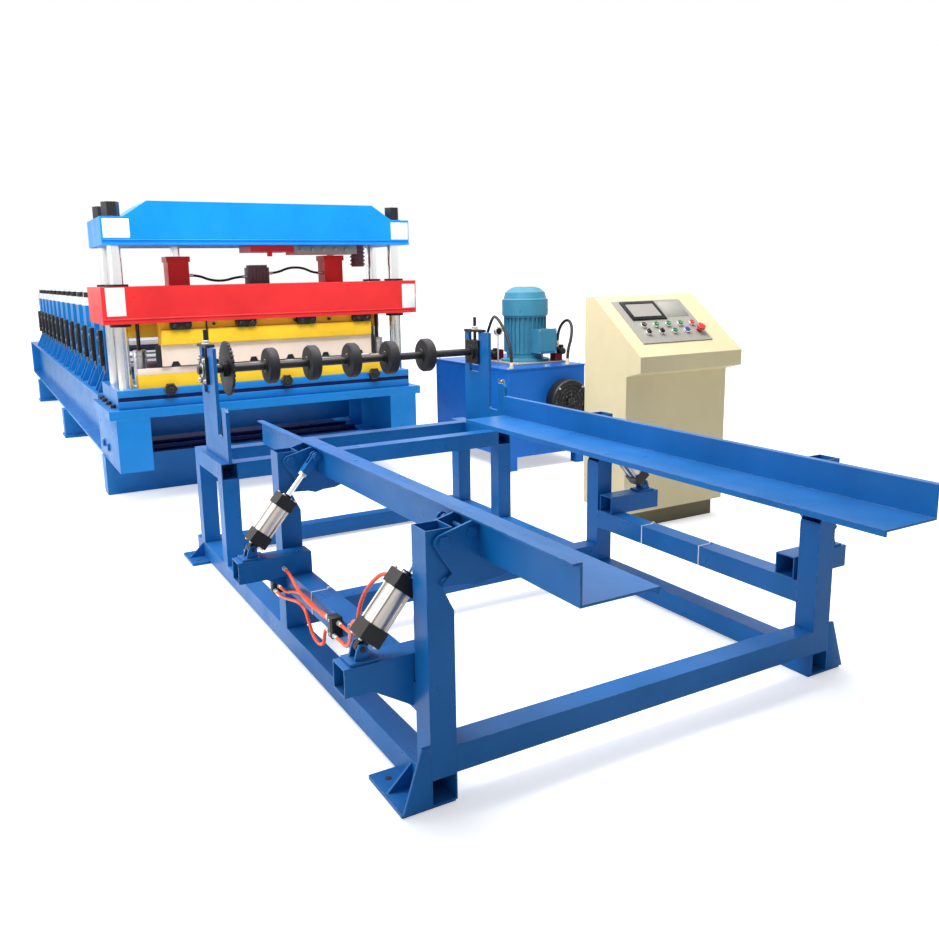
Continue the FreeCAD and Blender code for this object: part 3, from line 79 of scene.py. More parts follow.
class Wiring:
    """Adds shader nodes to one tree and links them as they are added."""

    def __init__(self, tree: bpy.types.NodeTree) -> None:
        """Take the tree to work in."""
        self.tree = tree
        self.nodes = tree.nodes

    def feed(self, socket: Socket, value: Socket | float | tuple) -> None:
        """Link an input to another socket, or set it to a plain value or colour."""
        if isinstance(value, Socket):
            self.tree.links.new(value, socket)
        else:
            socket.default_value = (*value, 1.0) if socket.type == "RGBA" else value

    def add(self, kind: str, inputs: dict[str | int, Socket | float | tuple] | None = None,
            **settings: object) -> bpy.types.bpy_prop_collection:
        """Add one node.

        Args:
            kind: the node's type without its leading ShaderNode.
            inputs: what goes into each input.
            settings: properties of the node itself.

        Returns:
            The node's outputs.
        """
        node = self.nodes.new("ShaderNode" + kind)
        for label, value in settings.items():
            setattr(node, label, value)
        for label, value in (inputs or {}).items():
            self.feed(node.inputs[label], value)
        return node.outputs

    def noise(self, place: Socket, scale: Socket | float, detail: float = 4.0,
              roughness: float = 0.5) -> Socket:
        """Noise from 0 to 1, with scale as the number of cells to a metre."""
        return self.add("TexNoise", {"Vector": place, "Scale": scale, "Detail": detail,
                                     "Roughness": roughness})["Fac"]

    def span(self, value: Socket, low: float, high: float, to_low: float = 0.0,
             to_high: float = 1.0) -> Socket:
        """Map a value from one range to another, held at its ends."""
        return self.add("MapRange", {"Value": value, "From Min": low, "From Max": high,
                                     "To Min": to_low, "To Max": to_high})["Result"]

    def maths(self, operation: str, first: Socket, second: Socket) -> Socket:
        """Put two values through one operation, held between 0 and 1."""
        return self.add("Math", {0: first, 1: second}, operation=operation,
                        use_clamp=True)["Value"]

    def blend(self, share: Socket, under: Socket | Colour, over: Socket | Colour) -> Socket:
        """Mix two colours by a mask; each is a socket or a plain colour."""
        return self.add("Mix", {0: share, 6: under, 7: over}, data_type="RGBA")[2]


class ShaderGroups:
    """The node groups that several finishes share, each built once on first use."""

    @staticmethod
    def _started(name: str, inputs: dict[str, float], outputs: dict[str, str]) -> Wiring:
        """Start an empty group.

        Args:
            name: the group's name.
            inputs: the default value of each input.
            outputs: the socket type of each output.

        Returns:
            The wiring of the group, with one input node and one output node in it.
        """
        tree = bpy.data.node_groups.new(name, "ShaderNodeTree")
        for label, value in inputs.items():
            socket = tree.interface.new_socket(label, in_out="INPUT",
                                               socket_type="NodeSocketFloat")
            socket.default_value = value
        for label, kind in outputs.items():
            tree.interface.new_socket(label, in_out="OUTPUT", socket_type=kind)
        tree.nodes.new("NodeGroupInput")
        tree.nodes.new("NodeGroupOutput")
        return Wiring(tree)

    @classmethod
    def edge_wear(cls) -> bpy.types.ShaderNodeTree:
        """Rounds edges in the shading and marks where paint wears thin along them."""
        name = "edge_wear"
        if name in bpy.data.node_groups:
            return bpy.data.node_groups[name]
        wiring = cls._started(name, {"Radius": 0.003, "Wear": 0.3},
                              {"Mask": "NodeSocketFloat", "Normal": "NodeSocketVector"})
        given = wiring.nodes["Group Input"].outputs
        wanted = wiring.nodes["Group Output"].inputs
        bevel = wiring.add("Bevel", {"Radius": given["Radius"]}, samples=4)["Normal"]
        flat = wiring.add("NewGeometry")["Normal"]
        turn = wiring.add("VectorMath", {0: bevel, 1: flat}, operation="DOT_PRODUCT")["Value"]
        edge = wiring.span(turn, 0.995, 0.90)
        place = wiring.add("TexCoord")["Object"]
        chips = wiring.span(wiring.noise(place, 38.0, 6.0), 0.50, 0.62)
        both = wiring.maths("MULTIPLY", edge, chips)
        wiring.feed(wanted["Mask"], wiring.maths("MULTIPLY", both, given["Wear"]))
        wiring.feed(wanted["Normal"], bevel)
        return wiring.tree

    @classmethod
    def dust_film(cls) -> bpy.types.ShaderNodeTree:
        """A thin film of shop dust that lies on what faces up and varies in broad patches."""
        name = "dust_film"
        if name in bpy.data.node_groups:
            return bpy.data.node_groups[name]
        wiring = cls._started(name, {"Amount": 0.3, "Patch Scale": 3.0},
                              {"Mask": "NodeSocketFloat", "Patches": "NodeSocketFloat"})
        given = wiring.nodes["Group Input"].outputs
        wanted = wiring.nodes["Group Output"].inputs
        place = wiring.add("TexCoord")["Object"]
        patches = wiring.noise(place, given["Patch Scale"], 5.0, 0.6)
        normal = wiring.add("NewGeometry")["Normal"]
        upward = wiring.add("SeparateXYZ", {"Vector": normal})["Z"]
        both = wiring.maths("MULTIPLY", patches, wiring.span(upward, 0.2, 1.0, 0.25))
        wiring.feed(wanted["Mask"], wiring.maths("MULTIPLY", both, given["Amount"]))
        wiring.feed(wanted["Patches"], patches)
        return wiring.tree


class Bench(Wiring):
    """A new material and the steps that every material repeats."""

    def __init__(self, name: str) -> None:
        """Open a material with its Principled shader ready.

        Args:
            name: the material's name.
        """
        self.material = bpy.data.materials.new(name)
        self.material.use_nodes = True
        super().__init__(self.material.node_tree)
        self.place = self.add("TexCoord")["Object"]

    def group(self, tree: bpy.types.ShaderNodeTree,
              **values: float) -> bpy.types.bpy_prop_collection:
        """Place a shared group; an underscore in the name of an input stands for a space."""
        inputs = {label.replace("_", " "): value for label, value in values.items()}
        return self.add("Group", inputs, node_tree=tree)

    def marks(self, scale: float, detail: float = 4.0, roughness: float = 0.5,
              stretch: Point = (1, 1, 1)) -> Socket:
        """Noise on the piece's own coordinates.

        Args:
            scale: how many cells to a metre.
            detail: octaves of the noise.
            roughness: how strong the fine octaves are.
            stretch: scale along X, Y and Z, for brushed or rolled marks.

        Returns:
            The socket that carries the noise, 0 to 1.
        """
        place = self.add("Mapping", {"Vector": self.place, "Scale": stretch})["Vector"]
        return self.noise(place, scale, detail, roughness)

    def bump(self, height: Socket, depth: float, strength: float, under: Socket) -> Socket:
        """Turn a height into a normal on top of another normal."""
        return self.add("Bump", {"Height": height, "Distance": depth, "Strength": strength,
                                 "Normal": under})["Normal"]

    def shade(self, **values: Socket | float | Colour) -> None:
        """Feed the Principled shader; an underscore stands for a space."""
        shader = self.nodes["Principled BSDF"]
        for label, value in values.items():
            self.feed(shader.inputs[label.replace("_", " ")], value)


@dataclass(frozen=True)
class Surface:
    """What every finish has, and the one place that makes its material."""

    name: str
    colour: Colour
    slot: str

    def build(self) -> bpy.types.Material:
        """Make the material once and give it back on every later call."""
        if self.name not in bpy.data.materials:
            self.mix(Bench(self.name))
        return bpy.data.materials[self.name]

    def mix(self, bench: Bench) -> None:
        """Wire the material on its bench; every kind of finish has its own way."""
        raise NotImplementedError


@dataclass(frozen=True)
class Paint(Surface):
    """Sprayed enamel on steel, with a faint ripple, shop dust and worn edges."""

    roughness: float = 0.32
    gloss: float = 0.22
    shade_shift: float = 0.12
    dust: float = 0.05
    wear: float = 0.35
    ripple: float = 0.00006
    edge: float = 0.003
    bare: Colour = (0.42, 0.42, 0.43)
    dust_colour: Colour = (0.52, 0.50, 0.46)

    def mix(self, bench: Bench) -> None:
        """Lay patches of the colour, dust and bare edges over each other."""
        wear = bench.group(ShaderGroups.edge_wear(), Radius=self.edge, Wear=self.wear)
        film = bench.group(ShaderGroups.dust_film(), Amount=self.dust, Patch_Scale=2.6)
        deep = tuple(c * (1 - self.shade_shift) for c in self.colour)
        light = tuple(min(1.0, c * (1 + self.shade_shift) + 0.004) for c in self.colour)
        enamel = bench.blend(bench.span(film["Patches"], 0.3, 0.7), deep, light)
        dusty = bench.blend(film["Mask"], enamel, self.dust_colour)
        ripple = bench.bump(bench.marks(95, 3), self.ripple, 0.6, wear["Normal"])
        dull = bench.span(bench.marks(7, 5, 0.65), 0.3, 0.75,
                          self.roughness * 0.8, self.roughness * 1.35)
        bench.shade(Base_Color=bench.blend(wear["Mask"], dusty, self.bare), Roughness=dull,
                    Normal=ripple, Specular_IOR_Level=self.gloss)


@dataclass(frozen=True)
class BareMetal(Surface):
    """Machined, drawn or plated metal, with fine marks along one direction."""

    roughness: float = 0.25
    marks: Point = (1, 1, 1)
    mark_scale: float = 60
    mark_depth: float = 0.0001
    edge: float = 0.0015
    grime: float = 0.3
    stained: float = 0.45

    def mix(self, bench: Bench) -> None:
        """Lay marks and stains over the metal."""
        wear = bench.group(ShaderGroups.edge_wear(), Radius=self.edge, Wear=0.0)
        marks = bench.marks(self.mark_scale, 6, 0.7, self.marks)
        stain = bench.span(bench.marks(5, 6, 0.7), 0.45, 0.8, 0, self.grime)
        tone = bench.blend(stain, self.colour, tuple(c * self.stained for c in self.colour))
        dull = bench.span(marks, 0.25, 0.75, self.roughness * 0.7, self.roughness * 1.5)
        bench.shade(Base_Color=tone, Metallic=1.0, Roughness=dull,
                    Normal=bench.bump(marks, self.mark_depth, 0.5, wear["Normal"]))


@dataclass(frozen=True)
class Moulded(Surface):
    """Rubber or plastic with a fine moulded grain and a little dust."""

    roughness: float = 0.6
    grain: float = 0.00025
    grain_scale: float = 260
    dust: float = 0.25
    edge: float = 0.002
    coat: float = 0.0
    gloss: float = 0.3
    dust_colour: Colour = (0.45, 0.43, 0.40)

    def mix(self, bench: Bench) -> None:
        """Lay faded patches, dust and grain over the colour."""
        wear = bench.group(ShaderGroups.edge_wear(), Radius=self.edge, Wear=0.0)
        film = bench.group(ShaderGroups.dust_film(), Amount=self.dust, Patch_Scale=6.0)
        faded = tuple(min(1.0, c * 1.5 + 0.006) for c in self.colour)
        tone = bench.blend(bench.span(film["Patches"], 0.35, 0.7), self.colour, faded)
        dull = bench.span(bench.marks(20), 0.3, 0.7, self.roughness * 0.85, self.roughness * 1.2)
        grain = bench.bump(bench.marks(self.grain_scale, 2), self.grain, 0.5, wear["Normal"])
        bench.shade(Base_Color=bench.blend(film["Mask"], tone, self.dust_colour),
                    Roughness=dull, Normal=grain, Coat_Weight=self.coat, Coat_Roughness=0.1,
                    Specular_IOR_Level=self.gloss)


class Finish(Enum):
    """Every finish of the line by its plain name."""

    FRAME_BLUE = Paint("frame_blue", linear(0, 98, 168), "line_blue")
    BASE_BLUE = Paint("base_blue", linear(0, 116, 190), "bright_blue", gloss=0.3)
    PRESS_BLUE = Paint("press_blue", linear(6, 140, 236), "bright_blue", dust=0.02)
    # Dark navy painted as the shade in the recess under the bed and in the groove along its
    # front.
    PIT_NAVY = Paint("painted_shade_navy", linear(2, 22, 74), "bright_blue", gloss=0.1)
    PRESS_RED = Paint("red_enamel", linear(220, 44, 46), "press_red", dust=0.02)
    DIE_YELLOW = Paint("yellow_enamel", linear(250, 198, 44), "die_yellow", wear=0.5, dust=0.03)
    BLADE_CREAM = Paint("blade_cream", linear(228, 208, 190), "blade_steel", roughness=0.4)
    CAP_WHITE = Paint("white_cap_enamel", linear(228, 230, 230), "cap_white", roughness=0.4)
    STATION_BLUE = Paint("tank_enamel", linear(0, 96, 184), "station_blue")
    MOTOR_TEAL = Paint("motor_teal", linear(56, 132, 160), "teal", roughness=0.4, wear=0.3,
                       gloss=0.35)
    CABINET_CREAM = Paint("cabinet_cream", linear(222, 208, 166), "cream", roughness=0.42,
                          ripple=0.0001, wear=0.15, shade_shift=0.05)
    PLINTH_GREY = Paint("plinth_grey", linear(112, 106, 80), "grey", roughness=0.5)
    PANEL_GREY = Paint("panel_enamel", linear(158, 154, 146), "panel_grey", roughness=0.5,
                       shade_shift=0.04, wear=0.1)
    CAST_GREY = Paint("cast_grey", linear(112, 114, 120), "panel_grey", roughness=0.45)
    BLACK = Paint("black_enamel", linear(17, 17, 19), "black_metal", roughness=0.38, gloss=0.35,
                  wear=0.6)
    VALVE_RED = Paint("valve_red", linear(128, 14, 22), "press_red", roughness=0.35, wear=0.4)
    CHROME = BareMetal("hard_chrome", (0.95, 0.95, 0.95), "steel", roughness=0.16,
                       marks=(1, 1, 0.2), mark_depth=0.00002, grime=0.03)
    ALUMINIUM = BareMetal("drawn_aluminium", (0.66, 0.60, 0.55), "bright_aluminium",
                          roughness=0.3, mark_depth=0.00003)
    STEEL = BareMetal("turned_steel", (0.50, 0.50, 0.51), "steel", roughness=0.32)
    # Steel darkened as painted shade for the rolls deep between the stands; the bearing bolts
    # share it.
    ROLL_STEEL = BareMetal("shade_dark_roll_steel", (0.26, 0.26, 0.28), "steel", roughness=0.34, grime=0.5)
    ZINC = BareMetal("zinc_plate", (0.66, 0.65, 0.60), "steel", roughness=0.34, mark_scale=25,
                     grime=0.35)
    RUBBER = Moulded("black_rubber", linear(26, 26, 29), "black_metal", roughness=0.62,
                     dust=0.08)
    HOSE_BLACK = Moulded("hose_rubber", linear(22, 22, 24), "hose_black", roughness=0.45,
                         grain_scale=420, dust=0.06)
    HOSE_ORANGE = Moulded("air_hose_plastic", linear(234, 78, 34), "hose_orange", roughness=0.3,
                          coat=0.1, dust=0.0)
    FERRULE = Moulded("ferrule_cream", linear(214, 200, 168), "steel", roughness=0.4, dust=0.15)
    TIE_WHITE = Moulded("tie_white", linear(226, 226, 222), "cap_white", roughness=0.4,
                        dust=0.05)
    GLASS_BLACK = Moulded("screen_glass", linear(10, 11, 14), "panel_grey", roughness=0.30,
                          grain=0.0, dust=0.02, gloss=0.15)
    SCREEN_GREY = Moulded("screen_face", linear(38, 40, 44), "panel_grey", roughness=0.55,
                          grain=0.0, dust=0.0, gloss=0.04)
    BUTTON_GREEN = Moulded("button_green", linear(16, 124, 70), "panel_grey", 0.25, dust=0.04)
    BUTTON_RED = Moulded("button_red", linear(206, 26, 30), "panel_grey", 0.25, dust=0.04)
    BUTTON_BLUE = Moulded("button_blue", linear(30, 60, 168), "panel_grey", 0.25, dust=0.04)
    BUTTON_BLACK = Moulded("button_black", linear(20, 20, 22), "panel_grey", 0.3, dust=0.04)


FINISH_OF_NODE: dict[str, Finish] = {name: finish for finish, names in (
    (Finish.FRAME_BLUE, "floor_rails cross_tubes stacker_posts mid_rails cylinder_mounts "
                        "clevis_feet left_tray right_tray left_hinge_plates right_hinge_plates "
                        "left_rod_forks right_rod_forks run_out_frame shaft_stands "
                        "left_tray_pins right_tray_pins"),
    (Finish.BASE_BLUE, "base_frame base_legs roll_stands upper_bed lower_bed"),
    (Finish.PRESS_BLUE, "crown_beam"),
    (Finish.PRESS_RED, "slide_beam press_cylinders crown_manifold"),
    (Finish.DIE_YELLOW, "lower_die upper_die"),
    (Finish.BLADE_CREAM, "upper_blade"),
    (Finish.CAP_WHITE, "stand_caps"),
    (Finish.CHROME, "left_rods right_rods columns press_rods"),
    (Finish.ALUMINIUM, "left_barrels right_barrels"),
    (Finish.BLACK, "slide_fittings left_cylinder_heads right_cylinder_heads bearing_housings "
                   "height_adjusters wheel_shaft sprocket wheel_hubs column_nuts roll_bearings "
                   "oil_cooler rear_pins"),
    (Finish.RUBBER, "rubber_wheels"),
    (Finish.ROLL_STEEL, "lower_rolls upper_rolls"),
    (Finish.STATION_BLUE, "oil_tank tank_lid"),
    (Finish.MOTOR_TEAL, "pump_motor motor_cover"),
    (Finish.CABINET_CREAM, "cabinet_body"),
    (Finish.PLINTH_GREY, "cabinet_plinth"),
    (Finish.PANEL_GREY, "control_panel"),
    (Finish.HOSE_ORANGE, "line_hoses cylinder_hoses"),
    (Finish.HOSE_BLACK, "press_hoses"),
) for name in names.split()}


def dress(piece: Piece, finish: Finish) -> None:
    """Give a piece one finish all over, in the material slot that it has."""
    material = finish.value.build()
    if piece.data.materials:
        for slot in piece.material_slots:
            slot.material = material
    else:
        piece.data.materials.append(material)


def line_zero() -> Vector:
    """The line's own zero: the middle of the shear across, the near end of the floor rails."""
    bed_low, bed_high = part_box("lower_bed")
    rails_low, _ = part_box("floor_rails")
    return Vector(((bed_low[0] + bed_high[0]) / 2, rails_low[1], 0))


ZERO = line_zero()


def spot(x: float, y: float, z: float) -> Vector:
    """A place given from the line's own zero, in metres, as a place in the shared frame."""
    return ZERO + Vector((x, y, z))


def facing(place: Vector, direction: Vector) -> Matrix:
    """The placing of a small part that is modelled at the centre and points up.

    Args:
        place: where its foot sits.
        direction: the way it points.

    Returns:
        The matrix that moves and turns it.
    """
    turn = direction.to_track_quat("Z", "Y").to_matrix().to_4x4()
    return Matrix.Translation(place) @ turn


def crossings(xs: Iterable[float], ys: Sequence[float], zs: Sequence[float],
              direction: Vector) -> list[Matrix]:
    """Placings that point one way, at every crossing of three rows of coordinates."""
    return [facing(spot(x, y, z), direction) for x in xs for y in ys for z in zs]


def beside(middle: float, reach: float) -> Pair:
    """Two coordinates, one on each side of a middle."""
    return middle - reach, middle + reach


def on_circle(count: int, start: float = 0.0) -> list[float]:
    """Even angles round a full turn, in radians."""
    return [start + math.tau * i / count for i in range(count)]


class Shop:
    """Modelling steps that every sub-assembly repeats.

    A corner or an end given as a tuple counts from the line's own zero, and one given as a
    Vector is taken as it is.
    """

    @staticmethod
    def only(piece: Piece) -> None:
        """Select one object and make it the active one."""
        bpy.ops.object.select_all(action="DESELECT")
        piece.select_set(True)
        bpy.context.view_layer.objects.active = piece

    @classmethod
    def applied(cls, piece: Piece) -> Piece:
        """Move an object's place, turn and size into its mesh."""
        cls.only(piece)
        bpy.ops.object.transform_apply(location=True, rotation=True, scale=True)
        return piece

    @classmethod
    def rounded(cls, piece: Piece, width: float) -> Piece:
        """Apply the place of a fresh primitive and bevel its sharp edges."""
        cls.applied(piece)
        if width > 0:
            modifier = piece.modifiers.new("rounding", "BEVEL")
            modifier.width = width
            modifier.segments = 2
            modifier.limit_method = "ANGLE"
            bpy.ops.object.modifier_apply(modifier=modifier.name)
        return piece

    @classmethod
    def block(cls, low: Vector | Point, high: Vector | Point, edge: float = 0.001) -> Piece:
        """A box with rounded edges between two corners."""
        low, high = (c if isinstance(c, Vector) else spot(*c) for c in (low, high))
        bpy.ops.mesh.primitive_cube_add(size=1, location=(low + high) / 2)
        piece = bpy.context.object
        piece.scale = high - low
        return cls.rounded(piece, edge)

    @classmethod
    def rod(cls, start: Vector | Point, end: Vector | Point, radius: float, sides: int = 32,
            edge: float = 0.0008) -> Piece:
        """A round or six-sided bar between two points, its ends rounded."""
        start, end = (c if isinstance(c, Vector) else spot(*c) for c in (start, end))
        way = end - start
        bpy.ops.mesh.primitive_cylinder_add(vertices=sides, radius=radius, depth=way.length,
                                            location=(start + end) / 2,
                                            rotation=way.to_track_quat("Z", "Y").to_euler())
        return cls.rounded(bpy.context.object, edge)

    @classmethod
    def hoop(cls, centre: Vector, axis: Vector, radius: float, thick: float,
             sides: int = 40) -> Piece:
        """A wire ring round an axis."""
        bpy.ops.mesh.primitive_torus_add(major_radius=radius, minor_radius=thick,
                                         major_segments=sides, minor_segments=10,
                                         location=centre,
                                         rotation=axis.to_track_quat("Z", "Y").to_euler())
        return cls.applied(bpy.context.object)

    @classmethod
    def pressed(cls, piece: Piece, side: Vector, inset: float, depth: float) -> Piece:
        """Inset the faces that look one way and move what is inside them along that way.

        Args:
            piece: the mesh to work on.
            side: the way that the chosen faces look.
            inset: width of the rim that stays.
            depth: how far the middle moves along side; below zero it sinks.

        Returns:
            The same piece.
        """
        cls.only(piece)
        bpy.ops.object.mode_set(mode="EDIT")
        bpy.ops.mesh.select_mode(type="FACE")
        bpy.ops.mesh.select_all(action="DESELECT")
        mesh = bmesh.from_edit_mesh(piece.data)
        looking = [f for f in mesh.faces if f.normal.dot(side) > ALIKE]
        largest = max((f.calc_area() for f in looking), default=0)
        for face in looking:
            face.select_set(face.calc_area() > largest * 0.5)
        bmesh.update_edit_mesh(piece.data)
        bpy.ops.mesh.inset(thickness=inset, depth=0)
        bpy.ops.mesh.extrude_region_move(TRANSFORM_OT_translate={"value": tuple(side * depth)})
        bpy.ops.object.mode_set(mode="OBJECT")
        return piece

    @classmethod
    def joined(cls, pieces: Sequence[Piece]) -> Piece:
        """Join several meshes into the first one."""
        cls.only(pieces[0])
        for piece in pieces[1:]:
            piece.select_set(True)
        if len(pieces) > 1:
            bpy.ops.object.join()
        return pieces[0]

    @classmethod
    def stamped(cls, master: Piece, places: Iterable[Matrix]) -> Piece:
        """Copy a small part to each place, with a mesh of its own, and join the copies.

        Args:
            master: the part, modelled at the centre and pointing up. It is used up.
            places: one matrix for each copy.

        Returns:
            All copies as one object, with its place in its mesh.
        """
        copies = []
        for place in places:
            copy = master.copy()
            copy.data = master.data.copy()
            copy.matrix_world = place
            bpy.context.scene.collection.objects.link(copy)
            copies.append(copy)
        bpy.data.objects.remove(master)
        return cls.applied(cls.joined(copies))

    @classmethod
    def settle(cls, name: str, pieces: Piece | Sequence[Piece], finish: Finish,
               body: str = "root", slot: str | None = None) -> None:
        """Join, name, smooth and dress what makes one piece, and seat it on its body.

        Args:
            name: the piece's name.
            pieces: one object, or several to join.
            finish: what the piece is dressed in.
            body: the body that it moves with.
            slot: not used.
        """
        piece = pieces if isinstance(pieces, Piece) else cls.joined(pieces)
        piece.name = name
        piece.data.name = name
        cls.only(piece)
        bpy.ops.object.shade_smooth_by_angle(angle=math.radians(35))
        dress(piece, finish)
        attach(piece, body)

    @classmethod
    def fasten(cls, name: str, master: Piece, places: Iterable[Matrix],
               finish: Finish = Finish.ZINC, body: str = "root") -> None:
        """Stamp a small part at each place and settle the copies as one piece."""
        cls.settle(name, cls.stamped(master, places), finish, body)


@dataclass(frozen=True)
class HexBolt:
    """A hexagon bolt head on a washer, foot at the centre, pointing up."""

    radius: float
    high: float
    washer: float = 0.0025

    def build(self) -> Piece:
        """Model the washer, the six-sided head and its chamfered top."""
        disc = Shop.rod(SUNK, Z * self.washer, self.radius * 1.25, 24, 0.0004)
        head = Shop.rod(Z * self.washer, Z * (self.washer + self.high), self.radius, 6)
        Shop.pressed(head, Z, self.radius * 0.22, self.radius * 0.05)
        return Shop.joined([head, disc])


@dataclass(frozen=True)
class SocketScrew:
    """A round cap screw with a sunk drive, foot at the centre, pointing up."""

    radius: float
    high: float

    def build(self) -> Piece:
        """Model the cap and sink its drive."""
        cap = Shop.rod(SUNK, Z * self.high, self.radius, 20, 0.0006)
        return Shop.pressed(cap, Z, self.radius * 0.42, -self.high * 0.6)


@dataclass(frozen=True)
class Slabs:
    """One piece made of plain rounded blocks, each from its low corner to its high one."""

    name: str
    finish: Finish
    edge: float
    blocks: tuple[tuple[Point, Point], ...]
    body: str = "root"

    def build(self) -> None:
        """Model the blocks and settle them as one piece."""
        pieces = [Shop.block(low, high, self.edge) for low, high in self.blocks]
        Shop.settle(self.name, pieces, self.finish, self.body)


SLABS = (
    Slabs("crown_plates", Finish.TIE_WHITE, 0.0006,
          (((-0.998, 3.6598, 1.682), (-0.846, 3.6614, 1.794)),
           ((0.874, 3.6598, 1.676), (1.003, 3.6614, 1.790)))),
    Slabs("slide_plates", Finish.TIE_WHITE, 0.0006,
          (((-1.018, 3.6398, 1.222), (-0.908, 3.6414, 1.390)),
           ((0.936, 3.6398, 1.208), (1.036, 3.6414, 1.372))), "press_slide"),
    Slabs("lower_blade_face", Finish.BLADE_CREAM, 0.0008,
          (((-0.8606, 3.7114, 0.8525), (0.8606, 3.7246, 0.8923)),)),
    Slabs("bed_ribs", Finish.BASE_BLUE, 0.002,
          (((-0.992, 3.684, 0.724), (0.992, 3.6915, 0.7675)),
           ((-0.992, 3.684, 0.652), (0.992, 3.6915, 0.699)))),
    # A flush navy strip between the ribs, painted as the shade in the groove.
    Slabs("bed_groove", Finish.PIT_NAVY, 0.0004,
          (((-0.991, 3.688, 0.700), (0.991, 3.6913, 0.723)),)),
    Slabs("upper_die_face", Finish.DIE_YELLOW, 0.016,
          (((-0.710, 3.672, 1.032), (-0.429, 3.6952, 1.128)),
           ((-0.421, 3.672, 1.032), (0.710, 3.6952, 1.128))), "press_slide"),
    Slabs("rear_die_rail", Finish.DIE_YELLOW, 0.003,
          (((-0.868, 3.900, 1.074), (0.868, 3.960, 1.1725)),), "press_slide"),
    Slabs("blade_holder", Finish.BLACK, 0.0006,
          (((-0.745, 3.7075, 0.9005), (0.745, 3.7108, 1.030)),), "press_slide"),
    Slabs("lower_blade_seat", Finish.BLACK, 0.002,
          (((-0.845, 3.7245, 0.8525), (0.845, 3.790, 0.880)),)),
    Slabs("upper_die_joint", Finish.BLACK, 0.0004,
          (((-0.4285, 3.678, 1.040), (-0.4215, 3.6962, 1.1725)),), "press_slide"),
    Slabs("beam_end_plates", Finish.BASE_BLUE, 0.002,
          (((-1.0215, 3.645, 0.2765), (-1.012, 4.480, 0.5805)),
           ((1.012, 3.645, 0.2765), (1.0215, 4.480, 0.5805)))),
    Slabs("motor_base", Finish.PANEL_GREY, 0.003,
          (((1.815, 3.525, 0.7518), (2.275, 3.995, 0.762)),)),
    Slabs("gauge_window", Finish.TIE_WHITE, 0.0006,
          (((1.6015, 3.380, 0.440), (1.6032, 3.428, 0.648)),)),
)


@dataclass(frozen=True)
class Tubing:
    """What the hoses of one kind share."""

    radius: float
    finish: Finish
    collar: Finish


AIR = Tubing(0.006, Finish.HOSE_ORANGE, Finish.ZINC)
OIL = Tubing(0.011, Finish.HOSE_BLACK, Finish.FERRULE)
PRESS = Tubing(0.008, Finish.HOSE_BLACK, Finish.ZINC)


@dataclass(frozen=True)
class Hose:
    """One hose from fitting to fitting, with a collar on each end.

    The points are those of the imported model's route, in metres from the line's own zero.
    """

    name: str
    node: str
    body: str
    kind: Tubing
    length: float
    points: tuple[Point, ...]

    def build(self) -> None:
        curve = bpy.data.curves.new(self.name, "CURVE")
        curve.dimensions = "3D"
        curve.bevel_depth = self.kind.radius
        curve.bevel_resolution = 5
        curve.use_fill_caps = True
        line = curve.splines.new("NURBS")
        places = [spot(*point) for point in self.points]
        line.points.add(len(places) - 1)
        for knot, place in zip(line.points, places):
            knot.co = (*place, 1.0)
        line.order_u = 3
        line.use_endpoint_u = True
        line.resolution_u = 12
        hose = bpy.data.objects.new(self.name, curve)
        bpy.context.scene.collection.objects.link(hose)
        dress(hose, self.kind.finish)
        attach(hose, self.body)
        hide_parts(self.node)
        self.collars(places)

    def collars(self, places: Sequence[Vector]) -> None:
        """A crimped sleeve and a hexagon nut on each end of the hose."""
        radius, pieces = self.kind.radius, []
        for end, after in ((places[0], places[1]), (places[-1], places[-2])):
            way = (after - end).normalized() * radius
            pieces.append(Shop.rod(end, end + way * 1.3, radius * 1.55, 6))
            pieces.append(Shop.rod(end + way * 1.3, end + way * 4.2, radius * 1.22, 24, 0.0012))
        Shop.settle(f"{self.name}_collars", pieces, self.kind.collar, self.body)


